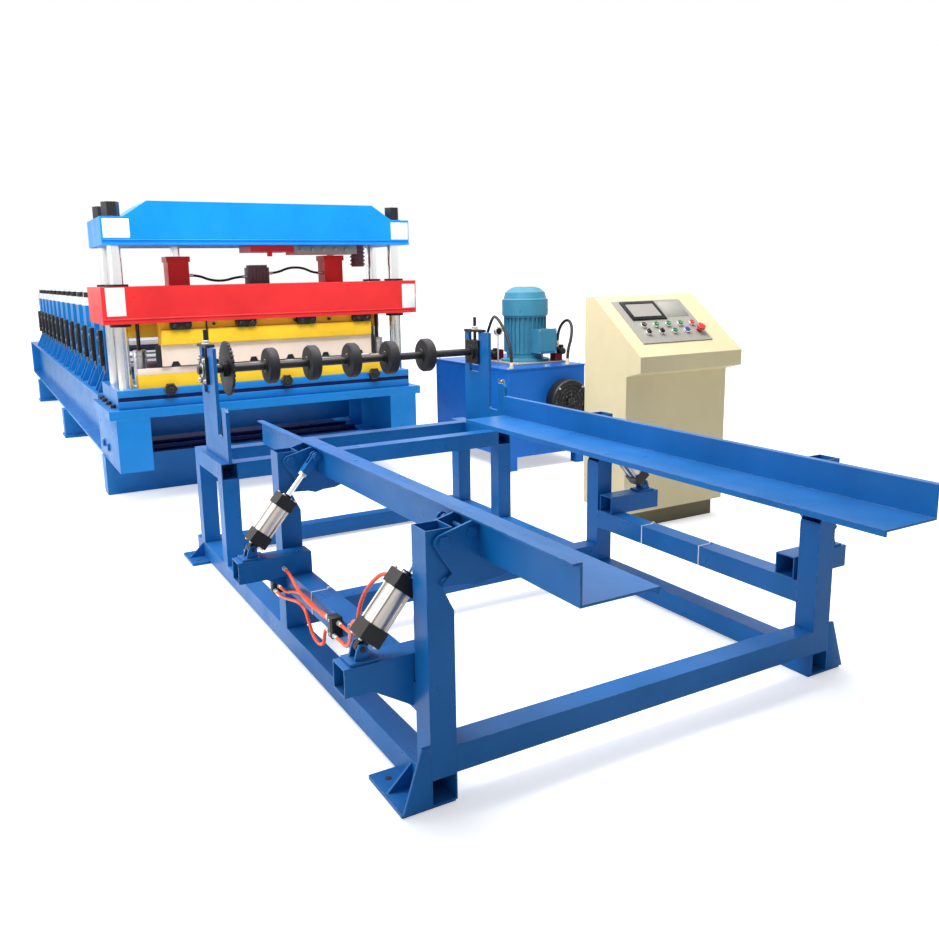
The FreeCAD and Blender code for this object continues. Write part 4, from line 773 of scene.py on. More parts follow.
HOSES = (
    Hose("low_port_hose", "cylinder_hoses", "left_cylinder_body", AIR, 0.501,
         ((-0.826, 0.600, 0.290), (-0.826, 0.540, 0.290), (-0.836, 0.470, 0.302),
          (-0.852, 0.400, 0.350), (-0.876, 0.330, 0.412), (-0.894, 0.275, 0.464),
          (-0.902, 0.230, 0.490), (-0.902, 0.171, 0.490))),
    Hose("top_port_hose", "cylinder_hoses", "left_cylinder_body", AIR, 0.563,
         ((-0.811, 0.600, 0.330), (-0.811, 0.524, 0.330), (-0.816, 0.455, 0.342),
          (-0.822, 0.412, 0.392), (-0.822, 0.396, 0.445), (-0.818, 0.368, 0.502),
          (-0.812, 0.305, 0.565), (-0.801, 0.238, 0.610), (-0.801, 0.171, 0.610))),
    Hose("air_line_top", "line_hoses", "root", AIR, 0.462,
         ((-0.826, 1.094, 0.372), (-0.826, 1.034, 0.372), (-0.826, 0.950, 0.336),
          (-0.826, 0.860, 0.323), (-0.826, 0.753, 0.323), (-0.826, 0.696, 0.335),
          (-0.826, 0.640, 0.335))),
    Hose("air_line_middle", "line_hoses", "root", AIR, 0.583,
         ((-0.811, 1.215, 0.262), (-0.811, 1.120, 0.262), (-0.811, 1.050, 0.294),
          (-0.811, 0.946, 0.316), (-0.811, 0.855, 0.316), (-0.811, 0.742, 0.304),
          (-0.811, 0.694, 0.312), (-0.811, 0.640, 0.312))),
    Hose("air_line_loop", "line_hoses", "root", AIR, 0.653,
         ((-0.826, 1.215, 0.246), (-0.826, 1.140, 0.246), (-0.826, 1.060, 0.262),
          (-0.826, 0.940, 0.292), (-0.826, 0.874, 0.286), (-0.826, 0.840, 0.248),
          (-0.826, 0.806, 0.212), (-0.826, 0.748, 0.202), (-0.826, 0.700, 0.224),
          (-0.826, 0.688, 0.268), (-0.826, 0.672, 0.290), (-0.826, 0.640, 0.290))),
    Hose("return_hose", "line_hoses", "root", OIL, 1.026,
         ((1.820, 3.975, 0.838), (1.820, 3.975, 0.920), (1.812, 3.900, 1.030),
          (1.770, 3.790, 1.096), (1.706, 3.650, 1.122), (1.672, 3.520, 1.080),
          (1.660, 3.410, 0.980), (1.656, 3.350, 0.870), (1.656, 3.350, 0.752))),
    Hose("pressure_hose", "line_hoses", "root", OIL, 0.641,
         ((2.218, 3.566, 0.870), (2.218, 3.566, 0.950), (2.224, 3.530, 1.040),
          (2.234, 3.460, 1.084), (2.224, 3.390, 1.044), (2.190, 3.350, 0.950),
          (2.146, 3.340, 0.850), (2.146, 3.340, 0.752))),
    Hose("left_press_hose", "press_hoses", "press_slide", PRESS, 0.402,
         ((-0.464, 3.930, 1.458), (-0.400, 3.930, 1.458), (-0.320, 3.930, 1.424),
          (-0.230, 3.930, 1.418), (-0.136, 3.936, 1.444), (-0.070, 3.936, 1.444))),
    Hose("right_press_hose", "press_hoses", "press_slide", PRESS, 0.406,
         ((0.070, 3.936, 1.464), (0.134, 3.936, 1.464), (0.220, 3.932, 1.500),
          (0.320, 3.932, 1.498), (0.400, 3.936, 1.460), (0.464, 3.936, 1.460))),
)


@dataclass
class StackerTrim:
    """Painted shade of the anchor holes, foot gussets, cylinder screws, rod nuts, air blocks and
    ties.
    """

    holes_x: float = 0.8385
    holes_y: tuple[float, ...] = (0.055, 0.187, 2.464, 2.596)
    plate_thick: float = 0.012
    gusset_x: Pair = (0.796, 0.881)
    gusset_z: Pair = (0.012, 0.190)
    gusset_slant: float = 0.060
    rear_pin: Pair = (0.932, 0.455)
    rod_pin: Pair = (0.668, 0.768)
    cylinders_y: Pair = (0.136, 1.134)
    screw_offset: float = 0.026
    head_faces: Pair = (0.022, 0.226)
    rod_nut: float = 0.322
    block_spans: tuple[tuple[Pair, Pair], ...] = (((0.600, 0.640), (0.278, 0.348)),
                                                  ((1.215, 1.250), (0.234, 0.278)))
    tie_places_y: Pair = (0.552, 0.888)
    rail_x: Pair = (0.716, 0.796)
    rail_z: Pair = (0.258, 0.338)

    def feet(self) -> None:
        """Black discs painted as the shade inside the anchor holes of the foot plates, and the
        gussets that stand flush with the posts.
        """
        # Flat black rubber discs stand for the shade in each anchor hole.
        ring = Shop.rod(SUNK, Z * 0.0006, 0.010, 28, 0.0002)
        Shop.fasten("anchor_holes", ring, crossings(beside(0, self.holes_x), self.holes_y,
                                                    (self.plate_thick,), Z), Finish.RUBBER)
        plates = []
        for side in SIDES:
            low, high = sorted(side * x for x in self.gusset_x)
            plate = Shop.block((low, 0.0, self.gusset_z[0]), (high, 0.010, self.gusset_z[1]), 0)
            Shop.only(plate)
            bpy.ops.object.mode_set(mode="EDIT")
            bpy.ops.mesh.select_mode(type="VERT")
            bpy.ops.mesh.select_all(action="DESELECT")
            mesh = bmesh.from_edit_mesh(plate.data)
            outer = spot(side * self.gusset_x[1], 0, 0).x
            for vertex in mesh.verts:
                vertex.select_set(abs(vertex.co.x - outer) < 1e-4 and vertex.co.z > 0.1)
            bmesh.update_edit_mesh(plate.data)
            bpy.ops.transform.translate(value=(-side * self.gusset_slant, 0, 0))
            bpy.ops.object.mode_set(mode="OBJECT")
            plates.append(Shop.rounded(plate, 0.0012))
        Shop.settle("foot_gussets", plates, Finish.FRAME_BLUE)

    def cylinder_screws(self, side: int, name: str) -> None:
        """Four cap screws in each head of the two cylinders on one side, and the rod nuts."""
        (rear_x, rear_z), (rod_x, rod_z) = self.rear_pin, self.rod_pin
        along = Vector((-side * (rear_x - rod_x), 0, rod_z - rear_z)).normalized()
        flat = along.cross(Y)
        places, nuts = [], []
        for y in self.cylinders_y:
            foot = spot(side * rear_x, y, rear_z)
            for reach, way in zip(self.head_faces, SIDES):
                places += [facing(foot + along * reach + (flat * a + Y * b) * self.screw_offset,
                                  along * way) for a in SIDES for b in SIDES]
            start = foot + along * self.rod_nut
            nuts.append(Shop.rod(start, start + along * 0.012, 0.017, 6, 0.001))
        Shop.fasten(f"{name}_head_screws", SocketScrew(0.0055, 0.005).build(), places,
                    body=f"{name}_cylinder_body")
        Shop.settle(f"{name}_rod_nuts", nuts, Finish.ZINC, f"{name}_rod_body")

    def air_blocks(self) -> None:
        """The black air block on the left middle rail and the elbow block on the post."""
        wall = -self.rail_x[1]
        blocks = []
        for (near, far), (low, high) in self.block_spans:
            block = Shop.block((wall - 0.038 - SKIN, near - SKIN / 2, low - SKIN),
                               (wall - 0.0002, far + SKIN / 2, high + SKIN), 0.002)
            blocks.append(Shop.pressed(block, -X, 0.006, 0.0015))
        Shop.settle("air_blocks", blocks, Finish.BLACK)
        Shop.fasten("air_block_screws", SocketScrew(0.005, 0.004).build(),
                    crossings((wall - 0.037,), (0.620,), (0.290, 0.336), -X))

    def ties(self) -> None:
        """White cable ties round the middle rails."""
        low, high = self.rail_z
        bands = []
        for side in SIDES:
            inner, outer = sorted(side * x for x in self.rail_x)
            for y in self.tie_places_y:
                band = Shop.block((inner - 0.0015, y - 0.0025, low - 0.0015),
                                  (outer + 0.0015, y + 0.0025, high + 0.0015), 0.0012)
                lock = Shop.block((outer - 0.02, y - 0.004, high),
                                  (outer - 0.008, y + 0.004, high + 0.007))
                bands += [Shop.pressed(band, Y, 0.0012, -0.0008), lock]
        Shop.settle("cable_ties", bands, Finish.TIE_WHITE)

    def build(self) -> None:
        """Fit everything to the stacker."""
        self.feet()
        self.cylinder_screws(-1, "left")
        self.cylinder_screws(1, "right")
        self.air_blocks()
        self.ties()


@dataclass
class WheelTrim:
    """Screws of the bearing housings, set screws of the hubs and nuts of the adjusters."""

    shaft: Pair = (2.350, 0.996)
    housing_x: float = 0.756
    housing_face: float = 0.780
    bolt_offset: float = 0.050
    hub_pitch: float = 0.220
    screw_side: float = 0.028
    screw_foot: float = 0.031
    adjuster_top: float = 1.122

    def build(self) -> None:
        """Fit everything to the run-out shaft."""
        y, z = self.shaft
        bolts, rings = [], []
        for side in SIDES:
            bolts += crossings((side * self.housing_face,), beside(y, self.bolt_offset),
                               beside(z, self.bolt_offset), X * side)
            rings.append(Shop.rod((side * (self.housing_face + 0.0005), y, z),
                                  (side * (self.housing_face + 0.006), y, z), 0.034, 32, 0.002))
        Shop.fasten("housing_bolts", HexBolt(0.009, 0.007).build(), bolts)
        Shop.fasten("adjuster_nuts", HexBolt(0.017, 0.014).build(),
                    crossings(beside(0, self.housing_x), (y,), (self.adjuster_top,), Z))
        Shop.settle("housing_rings", rings, Finish.STEEL)
        screws_x = [x for i in range(-2, 3) for x in beside(self.hub_pitch * i, self.screw_side)]
        Shop.fasten("hub_set_screws", SocketScrew(0.004, 0.003).build(),
                    crossings(screws_x, (y,), (z + self.screw_foot,), Z), body="wheel_set")


@dataclass
class ShearTrim:
    """Fittings of the shear: nuts, clamps, knobs, guide sleeves, folds and the valve plates."""

    column_x: float = 0.930
    columns_y: Pair = (3.760, 4.140)
    crown_top: float = 1.806
    knobs_x: tuple[float, ...] = (-0.678, 0.079, 0.717)
    knob_place: Pair = (3.691, 0.757)
    knob_radius: float = 0.036
    guide_foot: Point = (0.820, 3.842, 0.768)
    clamps_x: tuple[float, ...] = (-0.587, -0.174, 0.234, 0.634)
    clamp_bolt: Point = (0.036, 3.655, 1.151)
    small_bolts_x: Point = (-0.38, 0.16, 0.40)
    small_bolt_z: float = 1.153
    bed_bolts_y: tuple[float, ...] = (3.825, 4.006, 4.187, 4.320)
    bed_bolt: Pair = (1.004, 0.650)
    ports_x: tuple[float, ...] = (0.240, 0.320, 0.400, 0.480, 0.560)
    ribs_z: tuple[float, ...] = (1.517, 1.543, 1.569, 1.595, 1.621)
    accumulator: Pair = (0.740, 3.950)
    fins_x: tuple[float, ...] = (-0.056, -0.034, -0.012, 0.012, 0.034, 0.056)

    def nut_caps(self) -> None:
        """Threaded column ends that show in the nuts, and a washer under each nut."""
        pieces = []
        for x in beside(0, self.column_x):
            for y in self.columns_y:
                foot = spot(x, y, self.crown_top)
                end = Shop.rod(foot + Z * 0.060, foot + Z * 0.086, 0.0395, 40, 0.003)
                pieces += [Shop.rod(foot - Z * 0.0005, foot + Z * 0.006, 0.060, 40, 0.0012),
                           Shop.pressed(end, Z, 0.012, -0.004)]
        Shop.settle("column_washers", pieces, Finish.BLACK)

    def bed_knobs(self) -> None:
        """Black clamp knobs with lobes on the front of the bed."""
        pieces = []
        for x in self.knobs_x:
            centre = spot(x, *self.knob_place)
            pieces.append(Shop.rod(centre - Y * 0.0352, centre + Y * 0.0002,
                                   self.knob_radius + SKIN, 12, 0.003))
            for turn in on_circle(6):
                way = Vector((math.cos(turn), 0, math.sin(turn)))
                lobe = centre + way * self.knob_radius * 0.92
                pieces.append(Shop.rod(lobe - Y * 0.034, lobe - Y * 0.010, 0.009, 16, 0.002))
            pieces.append(Shop.rod(centre - Y * 0.044, centre - Y * 0.034, 0.016, 6, 0.001))
        Shop.settle("bed_knobs", pieces, Finish.BLACK)

    def guide_sleeves(self) -> None:
        """Bored and ringed sleeves over the plain guide posts."""
        x, y, z = self.guide_foot
        tubes = []
        for side in SIDES:
            foot = spot(side * x, y, z)
            tube = Shop.rod(foot, foot + Z * 0.2318, 0.040, 36, 0.002)
            tubes.append(Shop.pressed(tube, Z, 0.0225, -0.200))
            tubes += [Shop.hoop(foot + Z * high, Z, 0.0395, 0.0045) for high in (0.195, 0.222)]
            tubes.append(Shop.rod(foot, foot + Z * 0.014, 0.054, 36, 0.002))
        Shop.settle("guide_sleeve_faces", tubes, Finish.STEEL)

    def screws(self) -> None:
        """Cap screws of the clamps, small ones between them, and the bolts that hold the bed."""
        apart, y, z = self.clamp_bolt
        places = crossings([x for middle in self.clamps_x for x in beside(middle, apart)],
                           (y,), (z,), -Y)
        heads = Shop.stamped(HexBolt(0.013, 0.012).build(), places)
        small = [Shop.rod((x, 3.668, self.small_bolt_z), (x, 3.690, self.small_bolt_z),
                          0.010, 6, 0.001) for x in self.small_bolts_x]
        Shop.settle("clamp_screws", [heads, *small], Finish.BLACK, "press_slide")
        x, z = self.bed_bolt
        Shop.fasten("bed_bolts", HexBolt(0.022, 0.018).build(),
                    crossings(beside(0, x), self.bed_bolts_y, (z,), Z), Finish.BLACK)

    def folds(self) -> None:
        """The folded lower edges of the crown and of the slide."""
        for name, body, reach, y, z, finish in (
                ("crown_fold", "root", 1.004, 3.661, 1.670, Finish.PRESS_BLUE),
                ("slide_fold", "press_slide", 1.038, 3.641, 1.202, Finish.PRESS_RED)):
            fold = Shop.rod((-reach, y, z), (reach, y, z), 0.005, 20, 0.001)
            Shop.settle(name, fold, finish, body)

    def manifold(self) -> None:
        """Grey valve plate with ports under the crown, the accumulator's ribs and the valve."""
        plate = Shop.block((0.1902, 3.7204, 1.5814), (0.6406, 3.8906, 1.6405), 0.003)
        ports = [Shop.rod((x, 3.722, 1.612), (x, 3.700, 1.612), 0.015, 6, 0.001)
                 for x in self.ports_x]
        Shop.settle("manifold_plate", [plate, *ports], Finish.PANEL_GREY)
        x, y = self.accumulator
        ribs = [Shop.rod((x, y, z - 0.005), (x, y, z + 0.005), 0.0528, 40, 0.002)
                for z in self.ribs_z]
        ribs.append(Shop.rod((x, y, 1.4996), (x, y, 1.640), 0.0446, 40, 0.003))
        Shop.settle("accumulator_skin", ribs, Finish.CAST_GREY)
        valve = Shop.block((-0.0705, 3.8995, 1.3965), (0.0705, 4.0006, 1.5025), 0.002)
        fins = [Shop.block((x - 0.0055, 3.8915, 1.410), (x + 0.0055, 3.9005, 1.490))
                for x in self.fins_x]
        lid = Shop.block((-0.0605, 3.9095, 1.502), (0.0605, 3.9905, 1.5185), 0.002)
        Shop.settle("centre_valve_skin", [valve, *fins, lid], Finish.CAST_GREY, "press_slide")

    def build(self) -> None:
        """Fit everything to the shear."""
        self.nut_caps()
        self.bed_knobs()
        self.guide_sleeves()
        self.screws()
        self.folds()
        self.manifold()


@dataclass
class FormerTrim:
    """Bearing blocks, bolts and washers of the roll stands, and fittings of their base."""

    first: float = 4.625
    pitch: float = 0.450
    count: int = 13
    block_x: Pair = (0.9325, 0.962)
    block_z: Pair = (0.850, 1.096)
    block_half: float = 0.044
    bolts_z: Pair = (0.905, 1.040)
    stand_x: float = 0.902
    foot_bolt: Pair = (0.105, 0.682)
    cap_washer: Pair = (0.058, 1.308)
    plate_bolt: Pair = (1.0215, 0.364)
    plate_bolts_y: Pair = (4.043, 4.250)
    pan_rails_y: Pair = (4.290, 4.470)

    def build(self) -> None:
        """Fit everything to the roll stands and their base."""
        blocks, bolts, feet, washers = [], [], [], []
        bottom, top = self.block_z
        for side in SIDES:
            low, high = sorted(side * x for x in self.block_x)
            for y in (self.first + i * self.pitch for i in range(self.count)):
                near, far = beside(y, self.block_half)
                block = Shop.block((low, near, bottom), (high, far, top), 0.003)
                blocks.append(Shop.pressed(block, X * side, 0.014, -0.004))
                bolts += crossings((side * (self.block_x[1] - 0.004),), (y,), self.bolts_z,
                                   X * side)
                for rows, (apart, z) in ((feet, self.foot_bolt), (washers, self.cap_washer)):
                    rows += crossings((side * self.stand_x,), beside(y, apart), (z,), Z)
        Shop.settle("bearing_blocks", blocks, Finish.BLACK)
        Shop.fasten("bearing_bolts", HexBolt(0.013, 0.006).build(), bolts, Finish.ROLL_STEEL)
        Shop.fasten("stand_foot_bolts", HexBolt(0.012, 0.009).build(), feet)
        Shop.fasten("cap_washers", Shop.rod(SUNK, Z * 0.004, 0.023, 24), washers)
        self.base()

    def base(self) -> None:
        """Bolts of the plates at the near ends of the side beams, and the inner pan, painted
        dark navy as the shade under the bed.
        """
        x, z = self.plate_bolt
        bolts = [place for side in SIDES
                 for place in crossings((side * x,), self.plate_bolts_y, (z,), X * side)]
        Shop.fasten("beam_end_bolts", HexBolt(0.024, 0.012).build(), bolts, Finish.FRAME_BLUE)
        # The pan and its rails are dark navy as painted shade in the recess under the bed.
        pan = Shop.block((-0.8225, 4.245, 0.262), (0.8225, 5.860, 0.268))
        rails = [Shop.block((-0.810, y, 0.268), (0.810, y + 0.040, 0.300), 0.003)
                 for y in self.pan_rails_y]
        Shop.settle("base_pan", [pan, *rails], Finish.PIT_NAVY)


@dataclass
class StationTrim:
    """Valves, dial, motor fittings, cooler fan, level gauge and lid bolts of the station."""

    lid_z: float = 0.752
    tank_x: Pair = (1.606, 2.290)
    tank_y: Pair = (3.314, 4.420)
    tank_wall: float = 1.612
    motor: Pair = (2.050, 3.760)
    cooler: Point = (2.101, 3.230, 0.488)
    dial: Point = (1.700, 3.600, 1.010)
    valve_sizes: tuple[tuple[float, ...], ...] = ((1.870, 3.980, 0.200, 0.086),
                                                  (2.218, 3.580, 0.066, 0.118))
    valve_half: float = 0.034
    wires: tuple[float, ...] = (0.030, 0.056, 0.082, 0.108, 0.134)
    wire_radius: float = 0.0022

    def valves(self) -> None:
        """Dark red valve blocks with black coils over the plain solids."""
        blocks, coils = [], []
        for x, y, long, high in self.valve_sizes:
            across, top = long / 2 + SKIN, self.lid_z + high
            near, far = beside(y, self.valve_half + SKIN)
            block = Shop.block((x - across, near, self.lid_z), (x + across, far, top + SKIN),
                               0.003)
            blocks.append(Shop.pressed(block, -Y, 0.008, 0.002))
            z = top - 0.030
            coils.append(Shop.rod((x, y - 0.0926, z), (x, y - 0.0346, z), 0.0248, 24, 0.002))
            coils.append(Shop.block((x - 0.012, y - 0.080, z + 0.020),
                                    (x + 0.012, y - 0.050, z + 0.048), 0.002))
        Shop.settle("valve_faces", blocks, Finish.VALVE_RED)
        Shop.settle("valve_coils", coils, Finish.BLACK)

    def pressure_dial(self) -> None:
        """The pressure gauge on its post, with a dark face and no marks."""
        x, y, z = self.dial
        post = Shop.rod((x, y, self.lid_z), (x, y, z - 0.025), 0.006, 16)
        case = Shop.rod((x, y - 0.015, z), (x, y + 0.012, z), 0.033, 40, 0.003)
        Shop.settle("pressure_dial", [Shop.pressed(case, -Y, 0.006, -0.003), post], Finish.ZINC)
        face = Shop.rod((x, y - 0.013, z), (x, y - 0.0118, z), 0.024, 36, 0.0004)
        Shop.settle("dial_face", face, Finish.GLASS_BLACK, slot="black_metal")

    def lid_bolts(self) -> None:
        """Bolts round the lid and at the corners of the plate under the motor."""
        (low_x, high_x), (low_y, high_y) = self.tank_x, self.tank_y
        mid_x, mid_y = (low_x + high_x) / 2, (low_y + high_y) / 2
        x, y = self.motor
        places = crossings((low_x + 0.022, high_x - 0.022), (low_y + 0.04, mid_y, high_y - 0.04),
                           (self.lid_z,), Z)
        places += crossings((mid_x,), (low_y + 0.022, high_y - 0.022), (self.lid_z,), Z)
        places += crossings(beside(x, 0.205), beside(y, 0.205), (self.lid_z + 0.010,), Z)
        Shop.fasten("lid_bolts", HexBolt(0.009, 0.007).build(), places)

    def motor_trim(self) -> None:
        """Terminal box cover, its screws and gland, and the slots and band of the fan cover."""
        x, y = self.motor
        face, lid = y - 0.252, self.lid_z
        cover = Shop.block((x - 0.045, face, lid + 0.073), (x + 0.123, y - 0.236, lid + 0.262),
                           0.006)
        Shop.settle("terminal_cover", Shop.pressed(cover, -Y, 0.012, 0.003), Finish.MOTOR_TEAL)
        Shop.fasten("terminal_screws", SocketScrew(0.005, 0.003).build(),
                    crossings((x - 0.034, x + 0.112), (face,), (lid + 0.084, lid + 0.251), -Y))
        gland = Shop.rod((x + 0.124, y - 0.200, 0.880), (x + 0.150, y - 0.200, 0.880),
                         0.016, 6, 0.001)
        Shop.settle("cable_gland", gland, Finish.MOTOR_TEAL)
        slots = [facing(spot(x + math.cos(t) * 0.058, y + math.sin(t) * 0.058, 1.325), Z)
                 @ Matrix.Rotation(t, 4, "Z") for t in on_circle(18)]
        slot = Shop.block(Vector((-0.024, -0.003, -0.001)), Vector((0.024, 0.003, 0.0006)),
                          0.0003)
        Shop.fasten("cover_slots", slot, slots, Finish.BLACK)
        screws = [facing(spot(x + math.cos(t) * 0.177, y + math.sin(t) * 0.177, 1.150),
                         Vector((math.cos(t), math.sin(t), 0)))
                  for t in on_circle(4, math.pi / 4)]
        seam = Shop.hoop(spot(x, y, 1.230), Z, 0.1765, 0.0022, 72)
        heads = Shop.stamped(SocketScrew(0.006, 0.004).build(), screws)
        Shop.settle("cover_band", [seam, heads], Finish.MOTOR_TEAL)

    def fan(self) -> None:
        """Wire guard and hub in the mouth of the cooler."""
        x, y, z = self.cooler
        mouth = spot(x, y, z)
        guard = [Shop.hoop(mouth - Y * 0.003, Y, radius, self.wire_radius, 64)
                 for radius in self.wires]
        for turn in on_circle(8):
            way = Vector((math.cos(turn), 0, math.sin(turn)))
            start = mouth - Y * 0.0035
            guard.append(Shop.rod(start + way * 0.022, start + way * 0.150, self.wire_radius,
                                  10, 0))
        guard.append(Shop.rod(mouth - Y * 0.008, mouth + Y * 0.004, 0.026, 28, 0.002))
        Shop.settle("fan_guard", guard, Finish.BLACK)
        Shop.fasten("guard_screws", HexBolt(0.006, 0.004).build(),
                    crossings(beside(x, 0.104), (y,), beside(z, 0.104), -Y))

    def gauge(self) -> None:
        """Frame and two banjo screws of the level gauge on the left wall of the tank."""
        wall = self.tank_wall
        strip = Shop.block((wall - 0.012, 3.362, 0.412), (wall, 3.446, 0.676), 0.002)
        Shop.settle("gauge_frame", Shop.pressed(strip, -X, 0.012, -0.003), Finish.ALUMINIUM)
        Shop.fasten("gauge_screws", HexBolt(0.008, 0.006).build(),
                    crossings((wall - 0.012,), (3.404,), (0.426, 0.662), -X))

    def build(self) -> None:
        """Fit everything to the station."""
        self.valves()
        self.pressure_dial()
        self.lid_bolts()
        self.motor_trim()
        self.fan()
        self.gauge()


@dataclass
class CabinetTrim:
    """Screen, button caps, stop button and screws of the control panel.

    The desk has a frame of its own: X across, Y up the slope and Z out of it.
    """

    lip: Pair = (1.590, 0.981)
    ridge: Pair = (1.985, 1.290)
    panel_thick: float = 0.005
    upper: Point = (1.482, 0.088, 0.233)
    lower: Point = (1.478, 0.0935, 0.175)
    upper_caps: tuple[Finish, ...] = (Finish.BUTTON_BLACK, Finish.BUTTON_GREEN,
                                      Finish.BUTTON_GREEN, Finish.BUTTON_GREEN,
                                      Finish.BUTTON_RED)
    lower_caps: tuple[Finish, ...] = (Finish.BUTTON_BLACK, Finish.BUTTON_BLACK,
                                      Finish.BUTTON_GREEN, Finish.BUTTON_BLUE)
    stop: Pair = (1.852, 0.175)
    screws_x: Pair = (1.407, 1.888)
    screws_y: Pair = (0.107, 0.440)

    def lay(self, name: str, piece: Piece, finish: Finish) -> None:
        """Move a piece that was modelled flat onto the desk and settle it."""
        angle = math.atan2(self.ridge[1] - self.lip[1], self.ridge[0] - self.lip[0])
        piece.matrix_world = (Matrix.Translation(spot(0, *self.lip))
                              @ Matrix.Rotation(angle, 4, "X"))
        Shop.settle(name, Shop.applied(piece), finish)

    def screen(self) -> None:
        """Black bezel with a grey picture area sunk in it, and a blank plate beside it."""
        top = self.panel_thick
        bezel = Shop.block(Vector((1.4424, 0.2824, top)), Vector((1.6906, 0.4356, top + 0.0078)),
                           0.002)
        self.lay("screen_bezel", Shop.pressed(bezel, Z, 0.022, -0.002), Finish.GLASS_BLACK)
        glass = Shop.block(Vector((1.470, 0.310, top + 0.0050)),
                           Vector((1.663, 0.408, top + 0.0066)), 0.0004)
        self.lay("screen_glass", glass, Finish.SCREEN_GREY)
        plate = Shop.block(Vector((1.712, 0.300, top - 0.0002)),
                           Vector((1.872, 0.430, top + 0.001)), 0.0004)
        self.lay("blank_plate", plate, Finish.PANEL_GREY)

    def button(self, name: str, foot: Vector, finish: Finish) -> None:
        """A chrome collar and a coloured cap with a sunk middle."""
        collar = Shop.rod(foot, foot + Z * 0.0125, 0.0168, 32, 0.0015)
        self.lay(f"{name}_collar", collar, Finish.CHROME)
        cap = Shop.rod(foot + Z * 0.012, foot + Z * 0.0195, 0.0156, 28, 0.002)
        self.lay(f"{name}_cap", Shop.pressed(cap, Z, 0.004, -0.0015), finish)

    def controls(self) -> None:
        """Two rows of buttons, the mushroom stop button, selector levers and panel screws."""
        top = self.panel_thick
        for row, (start, pitch, along), caps in (("upper", self.upper, self.upper_caps),
                                                 ("lower", self.lower, self.lower_caps)):
            for i, finish in enumerate(caps):
                self.button(f"{row}_button_{i + 1}", Vector((start + i * pitch, along, top)),
                            finish)
        foot = Vector((*self.stop, top))
        stem = Shop.rod(foot, foot + Z * 0.020, 0.0168, 28, 0.001)
        head = Shop.rod(foot + Z * 0.0196, foot + Z * 0.0372, 0.0262, 36, 0.006)
        self.lay("stop_button", Shop.joined([head, stem]), Finish.BUTTON_RED)
        start, pitch, along = self.lower
        levers = [Shop.block(Vector((x - 0.004, along - 0.012, 0.022)),
                             Vector((x + 0.004, along + 0.012, 0.034)), 0.002)
                  for x in (start, start + pitch)]
        self.lay("selector_levers", Shop.joined(levers), Finish.BUTTON_BLACK)
        screws = [Matrix.Translation((x, y, top)) for x in self.screws_x for y in self.screws_y]
        heads = Shop.stamped(SocketScrew(0.004, 0.002).build(), screws)
        self.lay("panel_screws", heads, Finish.ZINC)

    def build(self) -> None:
        """Fit everything to the cabinet."""
        self.screen()
        self.controls()


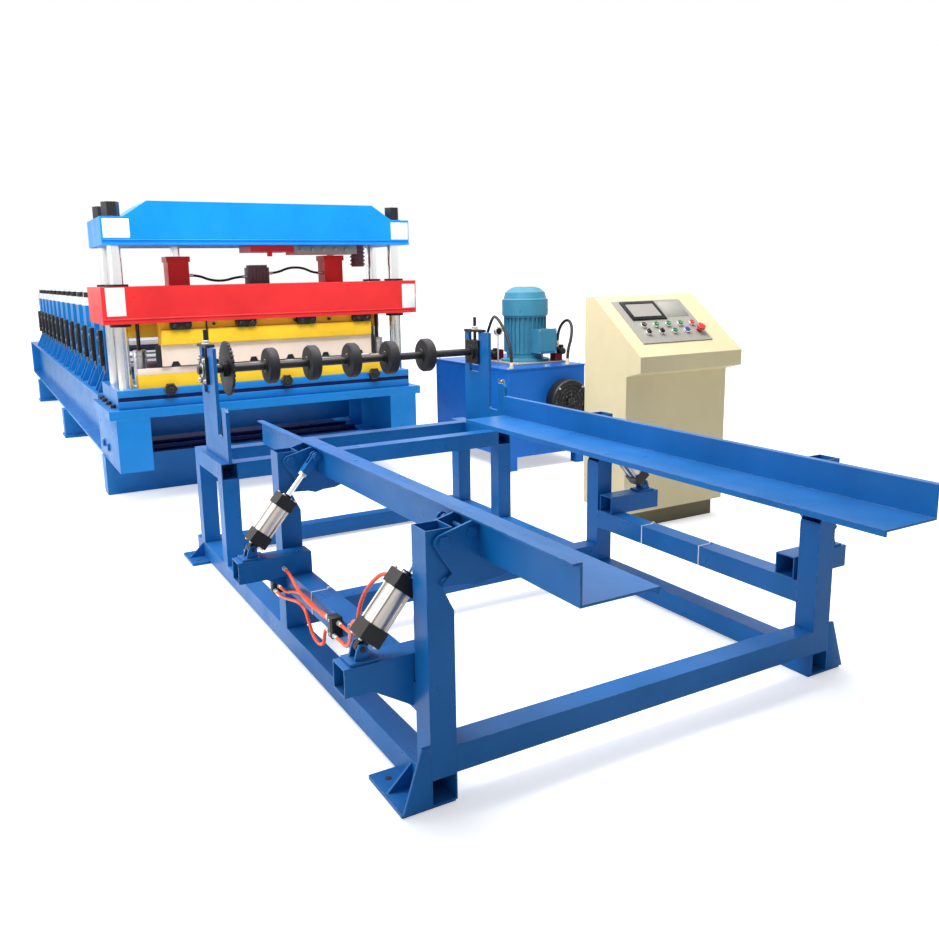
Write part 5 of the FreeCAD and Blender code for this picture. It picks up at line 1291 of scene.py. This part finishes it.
@dataclass
class Studio:
    """Pale floor, soft lamps, a white surround and the photograph's camera."""

    eye: Point = (-2.3725, -7.1545, 1.420)
    yaw: float = math.radians(28.718)
    pitch: float = math.radians(10.668)
    roll: float = math.radians(-1.159)
    focal_pixels: float = 863.70
    centre_pixels: Pair = (446.22, 438.87)
    picture_pixels: float = 939.0
    film_width: float = 36.0
    floor_half: float = 60.0

    def camera(self) -> None:
        """Stand the camera where the photograph was taken, with the same framing."""
        data = bpy.data.cameras.new("photo_camera")
        data.sensor_width = self.film_width
        data.lens = self.focal_pixels * self.film_width / self.picture_pixels
        data.shift_x = 0.5 - self.centre_pixels[0] / self.picture_pixels
        data.shift_y = self.centre_pixels[1] / self.picture_pixels - 0.5
        data.clip_end = 400
        holder = bpy.data.objects.new("photo_camera", data)
        holder.matrix_world = (Matrix.Translation(self.eye)
                               @ Matrix.Rotation(-self.yaw, 4, "Z")
                               @ Matrix.Rotation(math.pi / 2 - self.pitch, 4, "X")
                               @ Matrix.Rotation(self.roll, 4, "Z"))
        bpy.context.scene.collection.objects.link(holder)
        bpy.context.scene.camera = holder

    def lamp(self, name: str, place: Point, aim: Point, size: Pair, watts: float) -> None:
        """Hang one soft panel lamp that looks at a point."""
        data = bpy.data.lights.new(name, "AREA")
        data.shape = "RECTANGLE"
        data.size, data.size_y = size
        data.energy = watts
        holder = bpy.data.objects.new(name, data)
        direction = Vector(aim) - Vector(place)
        holder.location = place
        holder.rotation_euler = direction.to_track_quat("-Z", "Y").to_euler()
        bpy.context.scene.collection.objects.link(holder)

    def lamps(self) -> None:
        """A broad panel overhead, one at the left and one above that looks at the shear."""
        self.lamp("overhead", (-1.0, 1.0, 7.5), (0.0, 0.5, 0.0), (9, 15), 960)
        self.lamp("left_side", (-8.5, -1.0, 4.0), (0.0, 0.0, 0.5), (7, 4), 330)
        self.lamp("over_shear", (-0.9, -3.5, 4.4), (-0.6, -1.6, 1.3), (4, 1.2), 205)

    def surround(self) -> None:
        """White where it is seen or mirrored, a soft grey where it only lights."""
        world = bpy.data.worlds.new("surround")
        world.use_nodes = True
        wiring = Wiring(world.node_tree)
        path = wiring.add("LightPath")
        seen = path["Is Camera Ray"]
        for ray in ("Is Transmission Ray", "Is Glossy Ray"):
            seen = wiring.maths("MAXIMUM", seen, path[ray])
        wiring.feed(wiring.nodes["Background"].inputs["Color"],
                    wiring.blend(seen, (0.34, 0.36, 0.38), (1, 1, 1)))
        bpy.context.scene.world = world

    def floor(self) -> None:
        """A pale floor that shows white yet keeps the shadows."""
        bpy.ops.mesh.primitive_plane_add(size=2 * self.floor_half, location=(0, 0, -0.002))
        ground = bpy.context.object
        ground.name = "studio_floor"
        bench = Bench("studio_floor")
        speckle = bench.span(bench.marks(1.2, 3), 0.3, 0.7)
        reach = bench.add("VectorMath", {0: bench.place}, operation="LENGTH")["Value"]
        seen = bench.add("LightPath")["Is Camera Ray"]
        glow = bench.maths("MULTIPLY", seen, bench.span(reach, 6, 16, 0.5, 1.0))
        bench.shade(Base_Color=bench.blend(speckle, (0.80, 0.80, 0.80), (0.84, 0.84, 0.84)),
                    Roughness=0.7, Emission_Color=(1.0, 1.0, 1.0), Emission_Strength=glow)
        ground.data.materials.append(bench.material)

    def build(self) -> None:
        """Put the whole studio together."""
        bpy.context.scene.view_settings.view_transform = "Standard"
        self.camera()
        self.lamps()
        self.surround()
        self.floor()
        LOG.info("studio ready")


def main() -> None:
    """Build the line's dress in order and report each group of pieces."""
    Studio().build()
    for name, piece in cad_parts.items():
        dress(piece, FINISH_OF_NODE[name])
    LOG.info("dressed %d nodes", len(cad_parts))
    for part in (*HOSES, *SLABS, StackerTrim(), WheelTrim(), ShearTrim(), FormerTrim(),
                 StationTrim(), CabinetTrim()):
        part.build()
        LOG.info("%s fitted", type(part).__name__)


if __name__ == "__main__":
    logging.basicConfig(level=logging.INFO)
    main()
